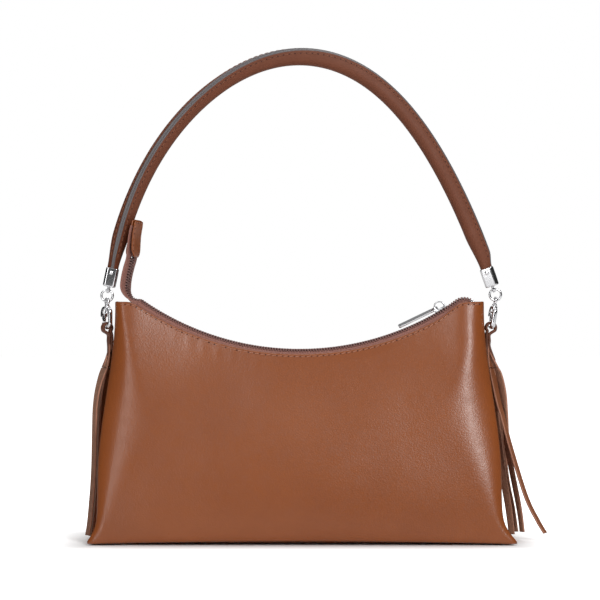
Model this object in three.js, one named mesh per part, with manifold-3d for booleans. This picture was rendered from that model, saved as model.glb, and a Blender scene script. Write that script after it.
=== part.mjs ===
// A leather baguette bag: a soft body with a curved zip, a free zip tail, and a shoulder strap
// that hooks into a leather loop at each side. Millimetres, +Z up, the front faces -Y.
import * as THREE from "three";
import { mergeVertices } from "three/addons/utils/BufferGeometryUtils.js";
import Module from "manifold-3d";

const wasm = await Module();
wasm.setup();

// Leather body
const BASE_HALF_WIDTH = 131;
const TOP_HALF_WIDTH = 121.5;
const CORNER_HEIGHT = 157;
const NARROWING_FROM = 45;
const NARROWING_TO = 150;
const BASE_HALF_DEPTH = 38;
const MOUTH_HALF_DEPTH = 8.5;
const FRONT_BULGE = 1.6;
const SEAM_SETBACK_BASE = 3;
const SEAM_SETBACK_TOP = 4;
const SEAM_CURVE = 1.15;
const EDGE_ROLL_BASE = 5;
const EDGE_ROLL_TOP = 12;
const EDGE_ROLL_GROWTH = 0.5;
const EDGE_ROLL_TURN = THREE.MathUtils.degToRad(72);
const FLAT_SHARE = 0.88;
const CORNER_SOFTNESS = 1.2;
const EAR_REACH = 7.5;
const EAR_HEIGHT = 8;
const EAR_CURVE = 1.5;
const GUSSET_DIP = 5;
const GUSSET_RECESS = 0.6;
const SEAM_STEP = 1.6;
const BOTTOM_ARCH = 1.8;
const BOTTOM_LIFT = 0.5;
const LEATHER = 1.6;
const GAP = 0.3;
const BOARD_THICKNESS = 2;
const BOARD_INSET = 3.5;
const BOARD_ROUNDING = 6;
const LINING = 0.8;
const LINING_INSET = 4.4;
const LINING_FLOOR_SHARE = 0.04;
const LINING_REACH = 0.915;

// Zip
const ZIP_RADIUS = 182.6;
const ZIP_LOW_POINT = 124.6;
const ZIP_LEFT_END = 105;
const ZIP_RIGHT_BEND = 104;
const ZIP_BEND_RADIUS = 8;
const ZIP_BEND_TURN = THREE.MathUtils.degToRad(66);
const TAPE = 0.7;
const TAPE_SHOWN = 2.6;
const TAPE_TUCK = 8.4;
const TAPE_TUCK_LEAN = THREE.MathUtils.degToRad(15);
const TOOTH_PITCH = 2.8;
const TOOTH_LENGTH = 1;
const TOOTH_HEIGHT = 2;
const TOOTH_OVERLAP = 0.8;
const CORD_WIDTH = 1.2;
const CHAIN_HALF_WIDTH = 2.9;
const STOP_LENGTH = 3;
const STOP_WALL = 0.5;
const SLIDER_PLACE = 94;
const SLIDER_LENGTH = 8.5;
const SLIDER_NARROW = 3.9;
const SLIDER_WIDE = 5.6;
const SLIDER_PLATE = 0.9;
const SLIDER_UNDER_HALF_WIDTH = 3.3;
const SLIDER_UNDER_LENGTH = 7.5;
const SLIDER_ROUNDING = 1;
const SLIDER_POST_LENGTH = 2;
const SLIDER_POST_HALF_WIDTH = 0.7;
const ROWS_PART_BY = 1.9;
const BRIDGE_LENGTH = 7.4;
const BRIDGE_HEIGHT = 5;
const BRIDGE_WIDTH = 2;
const BRIDGE_WALL = 0.9;
const PULL_LENGTH = 29;
const PULL_WIDTH = 5;
const PULL_THICKNESS = 1.3;
const PULL_LOOP_WALL = 1.1;
const PULL_LOOP_LENGTH = 5;
const PULL_ROUNDING = 1;

// Free zip tail and its leather tab
const TAIL_ROUTE = [
  [-104.7, 158.1],
  [-109.2, 160.8],
  [-112.2, 166.6],
  [-112.4, 173.6],
  [-110.4, 184],
  [-102.9, 210],
];
const TAIL_HALF_WIDTH = 9;
const TAIL_TWIST = THREE.MathUtils.degToRad(18);
const TAIL_TWIST_LENGTH = 16;
const TAB_LENGTH = 27;
const TAB_WIDTH = 16;
const TAB_LEATHER = 1.2;
const TAB_SPLAY = 1.4;
const TAB_SPLAY_HEIGHT = 15;
const TAB_TAPE_GRIP = 20;

// Shoulder strap
const STRAP_APEX = 318.7;
const STRAP_END_HEIGHT = 178.9;
const STRAP_HALF_SPAN = 137.8;
const STRAP_RISE = 253;
const STRAP_LEAN = 3;
const STRAP_DEPTH = 12;
const STRAP_WIDTH = 9.6;
const STRAP_EDGE_WIDTH = 4.2;
const STRAP_LEATHER = 1.7;
const STRAP_SLIT = 0.3;
const STRAP_FOLD_TURN = Math.PI * 0.7;
const STRAP_HOLLOW_TURN = Math.PI * 0.9;
const STRAP_CORE_RADIUS = 2.6;
const STRAP_TWIST_LEFT = 90;
const STRAP_TWIST_APEX = 30;
const STRAP_TWIST_RIGHT = 15;
const STRAP_TAPER_LENGTH = 14;

// Strap end caps, rings and lobster clasps
const CAP_LENGTH = 12.5;
const CAP_DEPTH = 7.6;
const CAP_WIDTH = 7;
const CAP_WALL = 0.7;
const CAP_FLOOR = 1.4;
const CAP_ROUNDING = 1.6;
const RIVET_RADIUS = 0.8;
const RIVET_HEAD_RADIUS = 1.3;
const RIVET_HEAD_HEIGHT = 0.5;
const RIVET_FROM_RIM = 3;
const LUG_RADIUS = 2;
const LUG_THICKNESS = 1.8;
const LUG_DROP = 2.2;
const RING_RADIUS = 3.75;
const RING_WIRE = 0.55;
const RING_CLEARANCE = 0.6;
const CLASP_TURN_LEFT = THREE.MathUtils.degToRad(34);
const CLASP_TURN_RIGHT = THREE.MathUtils.degToRad(9);
const CLASP_LEAN_RIGHT = THREE.MathUtils.degToRad(9);
const CLASP_THICKNESS = 3.2;
const HOOK_RADIUS = 3.85;
const HOOK_WIRE = 2.3;
const HOOK_BOTTOM = 138.4;
const LIMB_TOP = 9.2;
const WINDOW_TOP = 11;
const BRIDGE_TOP = 13.2;
const COLLAR_HALF_WIDTH = 2;
const CLASP_BEVEL = 0.5;
const LEVER_PIVOT = 9.6;
const LEVER_THICKNESS = 1.4;
const LEVER_THUMB = 1.3;
const LEVER_THUMB_HALF = 1;
const LEVER_THUMB_PLACE = 0.55;
const LEVER_OPENING = 8.4;
const PIN_RADIUS = 0.55;
const EYE_RADIUS = 2.6;
const EYE_THICKNESS = 1.8;
const EYE_HOLE = 1.5;
const STEM_RADIUS = 0.9;
const STEM_HEAD_RADIUS = 1.6;
const STEM_HEAD_HEIGHT = 1.2;
const SPRING_THICKNESS = 0.25;
const SPRING_WIDTH = 1.2;
const SPRING_REACH = 2;

// Leather loop tabs and fringe tassels at the sides
const LOOP_CLEARANCE = 1.2;
const LOOP_WRAP = THREE.MathUtils.degToRad(20);
const PINCH_HEIGHT = 134.4;
const PINCH_FOOT = 127;
const PINCH_SHIFT = 2;
const PINCH_GAP = 0.6;
const LEG_SLOPE_ALLOWANCE = 0.6;
const LOOP_LEATHER = 1.3;
const LOOP_WIDTH_FOOT = 7;
const LOOP_WIDTH_TOP = 3;
const LOOP_SEAT = 0.45;
const TAB_FOOT = 112;
const TAB_SEAT_TOP = 119;
const TAB_OUTER_FOOT_LEFT = 121.7;
const TAB_OUTER_FOOT_RIGHT = 118;
const TAB_OUTER_REACH_LEFT = 126.5;
const TAB_OUTER_REACH_RIGHT = 128.5;
const HEAD_TOP = 122.5;
const HEAD_FOOT = 113.4;
const HEAD_WIDTH = 9;
const HEAD_FLARE = 5;
const HEAD_ROUNDING = 0.8;
const FRINGE_LEATHER = 1.3;
const FRINGE_STRIP_WIDTH = 4.8;
const FRINGE_TOP = 113;
const FRINGE_KNOT_HEIGHT = 9;
const FRINGE_STEPS = 9;
const FRINGE_FAN_SHARE = 0.35;
const FRINGE_HALF_FAN = 9;
const FRINGE_HANG = 129.6;
const FRINGE_SWING_OUT = 12;
const FRINGE_FOOT = 3;
const FRINGE_BOW = 5;
const FRINGE_FLARE = 3;
const FRINGE_FLARE_EARLY = 0.35;
const FRINGE_TURN = THREE.MathUtils.degToRad(30);

const { lerp, smoothstep } = THREE.MathUtils;
const X_AXIS = new THREE.Vector3(1, 0, 0);
const Y_AXIS = new THREE.Vector3(0, 1, 0);
const Z_AXIS = new THREE.Vector3(0, 0, 1);
const UNIT_SQUARE = [
  [0, 0],
  [1, 0],
  [1, 1],
  [0, 1],
].map(([x, y]) => new THREE.Vector2(x, y));
const bag = new THREE.Group();

const LEATHER_FINISH = { color: 0x93583c, roughness: 0.45, metalness: 0 };
const STRAP_FINISH = { color: 0x764a38, roughness: 0.45, metalness: 0 };
const FRINGE_FINISH = { color: 0xa17560, roughness: 0.75, metalness: 0 };
const TAPE_FINISH = { color: 0x8a5f58, roughness: 0.85, metalness: 0 };
const TEETH_FINISH = { color: 0x492d26, roughness: 0.35, metalness: 0.4 };
const NICKEL_FINISH = { color: 0xd8d8d8, roughness: 0.12, metalness: 1 };
const LINING_FINISH = { color: 0x4a3328, roughness: 0.9, metalness: 0 };
const BOARD_FINISH = { color: 0x6a5a48, roughness: 0.9, metalness: 0 };

function addPiece(name, geometry, finish, parent = bag) {
  const mesh = new THREE.Mesh(geometry, new THREE.MeshStandardMaterial(finish));
  mesh.name = name;
  parent.add(mesh);
  return mesh;
}

// Geometry helpers

function merged(geometry) {
  const bare = geometry.index ? geometry.toNonIndexed() : geometry.clone();
  bare.deleteAttribute("normal");
  bare.deleteAttribute("uv");
  return mergeVertices(bare, 1e-4);
}

function solidOf(geometry) {
  const closed = merged(geometry);
  const vertProperties = new Float32Array(closed.attributes.position.array);
  const triVerts = new Uint32Array(closed.index.array);
  return new wasm.Manifold(new wasm.Mesh({ numProp: 3, vertProperties, triVerts }));
}

function geometryOf(solid) {
  const mesh = solid.getMesh();
  const geometry = new THREE.BufferGeometry();
  geometry.setAttribute("position", new THREE.BufferAttribute(mesh.vertProperties, 3));
  geometry.setIndex(new THREE.BufferAttribute(mesh.triVerts, 1));
  return geometry;
}

function cut(geometry, ...tools) {
  return geometryOf(tools.reduce((left, tool) => left.subtract(solidOf(tool)), solidOf(geometry)));
}

function join(geometry, ...others) {
  return geometryOf(others.reduce((sum, other) => sum.add(solidOf(other)), solidOf(geometry)));
}

// A closed skin from triangles of points, turned to face out.
function closedSkin(triangles) {
  let volume = 0;
  for (const [a, b, c] of triangles) {
    volume += new THREE.Vector3().crossVectors(a, b).dot(c);
  }
  const corners = triangles.flatMap(([a, b, c]) => (volume < 0 ? [a, c, b] : [a, b, c]));
  return merged(new THREE.BufferGeometry().setFromPoints(corners));
}

function quad(a, b, c, d) {
  return [
    [a, b, c],
    [a, c, d],
  ];
}

// A closed skin over rings of points; outline is the ring's own flat shape, for its two end caps.
function loft(rings, outline) {
  const count = outline.length;
  const triangles = [];
  for (let i = 0; i + 1 < rings.length; i++) {
    for (let k = 0; k < count; k++) {
      const next = (k + 1) % count;
      triangles.push(...quad(rings[i][k], rings[i][next], rings[i + 1][next], rings[i + 1][k]));
    }
  }
  const turned = THREE.ShapeUtils.isClockWise(outline);
  const first = rings[0];
  const last = rings[rings.length - 1];
  for (const face of THREE.ShapeUtils.triangulateShape(outline, [])) {
    const [a, b, c] = turned ? [face[0], face[2], face[1]] : face;
    triangles.push([first[a], first[c], first[b]], [last[a], last[b], last[c]]);
  }
  return closedSkin(triangles);
}

// A sheet of leather: an outer surface given by pointAt(u, v), thickened on the side of inward.
function sheet(pointAt, us, vs, thickness, inward) {
  const step = 1e-3;
  const innerAt = (u, v) => {
    const along = pointAt(u + step, v).sub(pointAt(u - step, v));
    const up = pointAt(u, v + step).sub(pointAt(u, v - step));
    const normal = along.cross(up).normalize();
    return pointAt(u, v).addScaledVector(normal, thickness * Math.sign(normal.dot(inward)));
  };
  const outer = vs.map((v) => us.map((u) => pointAt(u, v)));
  const inner = vs.map((v) => us.map((u) => innerAt(u, v)));
  const triangles = [];
  for (let j = 0; j + 1 < vs.length; j++) {
    for (let i = 0; i + 1 < us.length; i++) {
      triangles.push(...quad(outer[j][i], outer[j][i + 1], outer[j + 1][i + 1], outer[j + 1][i]));
      triangles.push(...quad(inner[j][i], inner[j + 1][i], inner[j + 1][i + 1], inner[j][i + 1]));
    }
  }
  const rim = (a, b, c, d) => triangles.push(...quad(a, b, c, d));
  const top = vs.length - 1;
  const end = us.length - 1;
  for (let i = 0; i < end; i++) {
    rim(outer[0][i], inner[0][i], inner[0][i + 1], outer[0][i + 1]);
    rim(outer[top][i], outer[top][i + 1], inner[top][i + 1], inner[top][i]);
  }
  for (let j = 0; j < top; j++) {
    rim(outer[j][0], outer[j + 1][0], inner[j + 1][0], inner[j][0]);
    rim(outer[j][end], inner[j][end], inner[j + 1][end], outer[j + 1][end]);
  }
  return closedSkin(triangles);
}

// The closed outline of a flat strip with the given middle line.
function stripOutline(points, thickness) {
  const line = points.map(([x, y]) => new THREE.Vector2(x, y));
  const side = line.map((point, i) => {
    const before = line[Math.max(i - 1, 0)];
    const after = line[Math.min(i + 1, line.length - 1)];
    const along = after.clone().sub(before).normalize();
    return new THREE.Vector2(-along.y, along.x).multiplyScalar(thickness / 2);
  });
  const left = line.map((point, i) => point.clone().add(side[i]));
  const right = line.map((point, i) => point.clone().sub(side[i]));
  return [...left, ...right.reverse()];
}

function spread(from, to, count) {
  return Array.from({ length: count + 1 }, (_, i) => from + ((to - from) * i) / count);
}

function cylinder(radius, length, axis, sides = 12) {
  const geometry = new THREE.CylinderGeometry(radius, radius, length, sides);
  const turn = new THREE.Quaternion().setFromUnitVectors(Y_AXIS, axis);
  return geometry.applyQuaternion(turn);
}

// A flat shape drawn across Y and up Z, given a thickness along X, with rounded edges.
function plateAcross(shape, thickness, bevel = 0) {
  const geometry = new THREE.ExtrudeGeometry(shape, {
    depth: thickness - 2 * bevel,
    bevelEnabled: bevel > 0,
    bevelThickness: bevel,
    bevelSize: bevel,
    bevelOffset: -bevel,
    bevelSegments: 1,
    curveSegments: 6,
  });
  geometry.translate(0, 0, bevel - thickness / 2);
  return geometry.applyMatrix4(new THREE.Matrix4().makeBasis(Y_AXIS, Z_AXIS, X_AXIS));
}

// A flat shape drawn along X and up Z, given a width along Y.
function plateAlong(shape, width) {
  const geometry = new THREE.ExtrudeGeometry(shape, { depth: width, bevelEnabled: false });
  return geometry.rotateX(Math.PI / 2).translate(0, width / 2, 0);
}

// A flat shape drawn along X and across Y, given a height.
function slab(shape, height, curveSegments = 3) {
  return new THREE.ExtrudeGeometry(shape, { depth: height, bevelEnabled: false, curveSegments });
}

function roundedRectangle(width, height, rounding) {
  const [w, h] = [width / 2, height / 2];
  const shape = new THREE.Shape();
  shape.moveTo(-w + rounding, -h);
  shape.lineTo(w - rounding, -h);
  shape.absarc(w - rounding, -h + rounding, rounding, -Math.PI / 2, 0);
  shape.absarc(w - rounding, h - rounding, rounding, 0, Math.PI / 2);
  shape.absarc(-w + rounding, h - rounding, rounding, Math.PI / 2, Math.PI);
  shape.absarc(-w + rounding, -h + rounding, rounding, Math.PI, Math.PI * 1.5);
  return shape;
}

// Shape of the leather body

const ZIP_CENTRE = ZIP_LOW_POINT + ZIP_RADIUS;
const SEAM_HALF_DEPTH_BASE = BASE_HALF_DEPTH - SEAM_SETBACK_BASE;
const SEAM_HALF_DEPTH_TOP = MOUTH_HALF_DEPTH - SEAM_SETBACK_TOP;

function earFlare(z) {
  return EAR_REACH * Math.exp(-Math.pow(Math.max(z, 0) / EAR_HEIGHT, EAR_CURVE));
}

function seamHalfWidth(z) {
  const narrowed = (BASE_HALF_WIDTH - TOP_HALF_WIDTH) * smoothstep(z, NARROWING_FROM, NARROWING_TO);
  return BASE_HALF_WIDTH - narrowed;
}

// The top edge follows the zip, then levels off at the corners.
function topEdge(x) {
  const radius = ZIP_RADIUS + TAPE_SHOWN;
  const arc = ZIP_CENTRE - Math.sqrt(radius * radius - x * x);
  const soft = CORNER_SOFTNESS;
  return -soft * Math.log(Math.exp(-arc / soft) + Math.exp(-CORNER_HEIGHT / soft));
}

function bottomEdge(share) {
  return BOTTOM_LIFT + BOTTOM_ARCH * (1 - share * share);
}

function panelHalfDepth(v) {
  const closing = 1 - Math.pow(Math.max(v, 0), FRONT_BULGE);
  return MOUTH_HALF_DEPTH + (BASE_HALF_DEPTH - MOUTH_HALF_DEPTH) * closing;
}

function seamHalfDepth(v) {
  const opening = Math.pow(Math.max(1 - v, 0), SEAM_CURVE);
  return lerp(SEAM_HALF_DEPTH_TOP, SEAM_HALF_DEPTH_BASE, opening);
}

// u runs across the panel from seam to seam and v from the base to the top edge; facing is -1 in front.
function panelPoint(u, v, facing) {
  const share = Math.abs(u);
  const height = lerp(bottomEdge(share), topEdge(Math.min(share, 1) * TOP_HALF_WIDTH), v);
  const roll = lerp(EDGE_ROLL_BASE, EDGE_ROLL_TOP, smoothstep(v, 0, EDGE_ROLL_GROWTH));
  const flatHalf = seamHalfWidth(height) - roll;
  const depth = panelHalfDepth(v);
  if (share <= FLAT_SHARE) {
    return new THREE.Vector3((u / FLAT_SHARE) * flatHalf, facing * depth, height);
  }
  const turn = ((share - FLAT_SHARE) / (1 - FLAT_SHARE)) * EDGE_ROLL_TURN;
  const outward = (roll * Math.sin(turn)) / Math.sin(EDGE_ROLL_TURN);
  const back = (1 - Math.cos(turn)) / (1 - Math.cos(EDGE_ROLL_TURN));
  const ear = earFlare(height) * back;
  const x = Math.sign(u) * (flatHalf + outward + ear);
  const y = facing * lerp(depth, seamHalfDepth(v), back);
  return new THREE.Vector3(x, y, height);
}

// w runs from the front seam to the back seam of the side gusset.
function gussetPoint(w, v, side, inset = 0) {
  const height = lerp(BOTTOM_LIFT, topEdge(TOP_HALF_WIDTH), v);
  const dip = GUSSET_DIP * Math.sin(Math.PI * THREE.MathUtils.clamp(v, 0, 1)) * (1 - w * w);
  const ear = earFlare(height) * w * w;
  const x = seamHalfWidth(height) + ear - dip - inset;
  return new THREE.Vector3(side * x, w * (seamHalfDepth(v) - SEAM_STEP), height);
}

const HALF_ACROSS = [...spread(0, FLAT_SHARE, 6), ...spread(FLAT_SHARE, 1, 4).slice(1)];
const ACROSS = [...HALF_ACROSS.slice(1).reverse().map((u) => -u), ...HALF_ACROSS];
const UP = [0, 0.04, 0.1, 0.2, 0.34, 0.5, 0.66, 0.8, 0.9, 0.96, 1];

function makeBody() {
  for (const [name, facing] of [
    ["front_panel", -1],
    ["back_panel", 1],
  ]) {
    const inward = new THREE.Vector3(0, -facing, 0);
    const panel = sheet((u, v) => panelPoint(u, v, facing), ACROSS, UP, LEATHER, inward);
    addPiece(name, panel, LEATHER_FINISH);
  }
  for (const [name, side] of [
    ["left_gusset", -1],
    ["right_gusset", 1],
  ]) {
    const inward = new THREE.Vector3(-side, 0, 0);
    const surface = (w, v) => gussetPoint(w, v, side, GUSSET_RECESS);
    addPiece(name, sheet(surface, spread(-1, 1, 6), UP, LEATHER, inward), LEATHER_FINISH);
  }
}

function makeBase() {
  const halfDepth = BASE_HALF_DEPTH - LEATHER - GAP;
  const endRecess = GUSSET_RECESS + LEATHER + GAP;
  const middle = BASE_HALF_WIDTH - endRecess;
  const corner = BASE_HALF_WIDTH + EAR_REACH - endRecess - LEATHER;
  const cornerDepth = SEAM_HALF_DEPTH_BASE - LEATHER;
  const shoulder = BASE_HALF_WIDTH - EDGE_ROLL_BASE;
  const outline = new THREE.Shape();
  outline.moveTo(-shoulder, -halfDepth);
  outline.lineTo(shoulder, -halfDepth);
  outline.lineTo(corner, -cornerDepth);
  outline.quadraticCurveTo(2 * middle - corner, 0, corner, cornerDepth);
  outline.lineTo(shoulder, halfDepth);
  outline.lineTo(-shoulder, halfDepth);
  outline.lineTo(-corner, cornerDepth);
  outline.quadraticCurveTo(corner - 2 * middle, 0, -corner, -cornerDepth);
  addPiece("base_panel", slab(outline, LEATHER, 8), LEATHER_FINISH);

  const boardLength = 2 * (middle - BOARD_INSET);
  const board = roundedRectangle(boardLength, 2 * (halfDepth - BOARD_INSET), BOARD_ROUNDING);
  addPiece("base_board", slab(board, BOARD_THICKNESS).translate(0, 0, LEATHER + GAP), BOARD_FINISH);
}

// The lining is an open pouch that follows the body inside its leather.
function makeLining() {
  const floor = LEATHER + BOARD_THICKNESS + 2 * GAP;
  const ringAt = (v, inset, lift) => {
    const points = [];
    for (const facing of [-1, 1]) {
      const us = spread(facing * FLAT_SHARE, -facing * FLAT_SHARE, 8);
      for (const u of us) {
        const point = panelPoint(u, v, facing);
        point.y -= facing * inset;
        point.x *= 1 - inset / BASE_HALF_WIDTH;
        points.push(point);
      }
      const side = -facing;
      for (const w of [-0.5, 0, 0.5]) {
        points.push(gussetPoint(w * side, v, side, inset));
      }
    }
    if (lift !== undefined) {
      points.forEach((point) => (point.z = lift));
    }
    return points;
  };
  const [lowest, ...heights] = spread(LINING_FLOOR_SHARE, LINING_REACH, 6);
  const outer = [ringAt(lowest, LINING_INSET, floor), ...heights.map((v) => ringAt(v, LINING_INSET))];
  const thick = LINING_INSET + LINING;
  const inner = [ringAt(lowest, thick, floor + LINING), ...heights.map((v) => ringAt(v, thick))];
  const triangles = [];
  const count = outer[0].length;
  for (let k = 0; k < count; k++) {
    const n = (k + 1) % count;
    for (let i = 0; i + 1 < outer.length; i++) {
      triangles.push(...quad(outer[i][k], outer[i][n], outer[i + 1][n], outer[i + 1][k]));
      triangles.push(...quad(inner[i][k], inner[i + 1][k], inner[i + 1][n], inner[i][n]));
    }
    const last = outer.length - 1;
    triangles.push(...quad(outer[last][k], outer[last][n], inner[last][n], inner[last][k]));
    triangles.push([outer[0][n], outer[0][k], new THREE.Vector3(0, 0, floor)]);
    triangles.push([inner[0][k], inner[0][n], new THREE.Vector3(0, 0, floor + LINING)]);
  }
  addPiece("lining", closedSkin(triangles), LINING_FINISH);
}

// Zip: a frame on its path has a point, an up direction and a side direction towards the back.

function frameOn(point, along, twist = 0) {
  const up = new THREE.Vector3(-along.z, 0, along.x);
  const side = Y_AXIS.clone();
  return {
    point,
    up: up.clone().multiplyScalar(Math.cos(twist)).addScaledVector(side, -Math.sin(twist)),
    side: side.multiplyScalar(Math.cos(twist)).addScaledVector(up, Math.sin(twist)),
  };
}

function place({ point, up, side }, y, h) {
  return point.clone().addScaledVector(side, y).addScaledVector(up, h);
}

const LEFT_END_TURN = Math.asin(ZIP_LEFT_END / ZIP_RADIUS);
const BEND_START_TURN = Math.asin(ZIP_RIGHT_BEND / ZIP_RADIUS);
const SLIDER_TURN = Math.asin(SLIDER_PLACE / ZIP_RADIUS);
const CHAIN_START = -LEFT_END_TURN * ZIP_RADIUS;
const BEND_START = BEND_START_TURN * ZIP_RADIUS;
const CHAIN_END = BEND_START + ZIP_BEND_TURN * ZIP_BEND_RADIUS;

function zipArcFrame(turn) {
  const point = new THREE.Vector3(Math.sin(turn), 0, -Math.cos(turn)).multiplyScalar(ZIP_RADIUS);
  point.z += ZIP_CENTRE;
  return frameOn(point, new THREE.Vector3(Math.cos(turn), 0, Math.sin(turn)));
}

// Distance s is measured along the chain from its lowest point; past the bend it dives into the bag.
function zipFrame(s) {
  if (s <= BEND_START) {
    return zipArcFrame(s / ZIP_RADIUS);
  }
  const start = zipArcFrame(BEND_START_TURN);
  const centre = start.point.clone().addScaledVector(start.up, -ZIP_BEND_RADIUS);
  const heading = BEND_START_TURN - (s - BEND_START) / ZIP_BEND_RADIUS;
  const along = new THREE.Vector3(Math.cos(heading), 0, Math.sin(heading));
  const up = new THREE.Vector3(-along.z, 0, along.x);
  return frameOn(centre.addScaledVector(up, ZIP_BEND_RADIUS), along);
}

// The rows part inside the slider, so that its post stands between them.
const POST_PLACE = SLIDER_TURN * ZIP_RADIUS + SLIDER_LENGTH / 2 - SLIDER_POST_LENGTH;
const PART_START = POST_PLACE - SLIDER_LENGTH / 2;
const PART_END = POST_PLACE - SLIDER_POST_LENGTH / 2;
function rowsPart(s) {
  return ROWS_PART_BY * smoothstep(s, PART_START, PART_END);
}

// A strip of cells along a path, some left empty, as one closed skin.
function cells(frameAt, stations, edges, filled, low, high) {
  const inside = (index, list) => index >= 0 && index + 1 < list.length;
  const has = (row, segment) => inside(row, edges) && inside(segment, stations) && filled(row, segment);
  const frames = stations.map(frameAt);
  const triangles = [];
  for (let i = 0; i + 1 < stations.length; i++) {
    for (let j = 0; j + 1 < edges.length; j++) {
      if (!has(j, i)) continue;
      const at = (di, dj, h) => place(frames[i + di], edges[j + dj](stations[i + di]), h);
      const [a, b, c, d] = [at(0, 0, high), at(1, 0, high), at(1, 1, high), at(0, 1, high)];
      const [e, f, g, k] = [at(0, 0, low), at(1, 0, low), at(1, 1, low), at(0, 1, low)];
      triangles.push(...quad(a, b, c, d), ...quad(e, k, g, f));
      if (!has(j - 1, i)) triangles.push(...quad(e, f, b, a));
      if (!has(j + 1, i)) triangles.push(...quad(d, c, g, k));
      if (!has(j, i - 1)) triangles.push(...quad(a, d, k, e));
      if (!has(j, i + 1)) triangles.push(...quad(f, g, c, b));
    }
  }
  return closedSkin(triangles);
}

// One row of teeth on its cord; facing is -1 for the front row, whose teeth reach towards the back.
function teethRow(frameAt, from, to, facing, partAt) {
  const offset = facing < 0 ? 0 : TOOTH_PITCH / 2;
  const first = from + offset + (TOOTH_PITCH / 2 - TOOTH_LENGTH) / 2;
  const stations = [from];
  const toothStarts = new Set();
  for (let s = first; s + TOOTH_LENGTH < to; s += TOOTH_PITCH) {
    toothStarts.add(stations.length);
    stations.push(s, s + TOOTH_LENGTH);
  }
  stations.push(to);
  const edges = [CHAIN_HALF_WIDTH, CHAIN_HALF_WIDTH - CORD_WIDTH, -TOOTH_OVERLAP].map(
    (y) => (s) => facing * (y + partAt(s)),
  );
  const filled = (row, segment) => row === 0 || toothStarts.has(segment);
  return cells(frameAt, stations, edges, filled, -TOOTH_HEIGHT / 2, TOOTH_HEIGHT / 2);
}

const TAPE_EDGE = CHAIN_HALF_WIDTH + GAP + TAPE / 2;
// The tapes part a little before the rows, so that they stay clear of the straight cord between two teeth.
const TAPE_LEAD = TOOTH_PITCH / 4;
const TAPE_SHOULDER = MOUTH_HALF_DEPTH - LEATHER - TAPE;

// A zip tape slopes from its row of teeth down to the leather edge, and tucks in behind it.
function makeTape(name, facing) {
  const stations = [
    ...spread(CHAIN_START, PART_START - TAPE_LEAD, 33),
    ...spread(PART_START - TAPE_LEAD, PART_END, 6).slice(1),
    ...spread(PART_END, BEND_START, 3).slice(1),
    ...spread(BEND_START, CHAIN_END, 5).slice(1),
  ].sort((a, b) => a - b);
  const sectionAt = (s) => {
    const slope = TAPE_TUCK_LEAN * (1 - smoothstep(Math.abs(s), BEND_START / 2, BEND_START));
    const lean = Math.sin(slope) * TAPE_TUCK;
    const drop = Math.cos(slope) * TAPE_TUCK;
    const middle = [
      [TAPE_EDGE + rowsPart(s + TAPE_LEAD), 0],
      [TAPE_SHOULDER, -TAPE_SHOWN],
      [TAPE_SHOULDER + lean, -TAPE_SHOWN - drop],
    ];
    return stripOutline(middle, TAPE).map((point) => new THREE.Vector2(facing * point.x, point.y));
  };
  const rings = stations.map((s) => sectionAt(s).map(({ x, y }) => place(zipFrame(s), x, y)));
  addPiece(name, loft(rings, sectionAt(CHAIN_START)), TAPE_FINISH);
}

function makeStop(name, facing) {
  const stations = [CHAIN_END + GAP, CHAIN_END + GAP + STOP_LENGTH];
  const edges = [CHAIN_HALF_WIDTH, CHAIN_HALF_WIDTH - CORD_WIDTH - STOP_WALL].map(
    (y) => (s) => facing * (y + rowsPart(s)),
  );
  const half = TOOTH_HEIGHT / 2 + STOP_WALL;
  addPiece(name, cells(zipFrame, stations, edges, () => true, -half, half), NICKEL_FINISH);
}

function makeZip() {
  for (const [word, facing] of [
    ["front", -1],
    ["back", 1],
  ]) {
    const row = teethRow(zipFrame, CHAIN_START, CHAIN_END, facing, rowsPart);
    addPiece(`zip_teeth_${word}`, row, TEETH_FINISH);
    makeTape(`zip_tape_${word}`, facing);
    makeStop(`zip_stop_${word}`, facing);
  }
}

// The slider is drawn with X along the chain and Z up, then set on the chain.
const SLIDER_TOP = TOOTH_HEIGHT / 2 + GAP;
const PULL_LOOP_TURNING = Math.hypot(PULL_LOOP_WALL, PULL_THICKNESS) / 2;
const PULL_AXIS_HEIGHT = SLIDER_TOP + SLIDER_PLATE + GAP + PULL_LOOP_TURNING;
const PULL_AXIS_PLACE = BRIDGE_WALL - BRIDGE_LENGTH / 2 + GAP + PULL_LOOP_TURNING;

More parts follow.
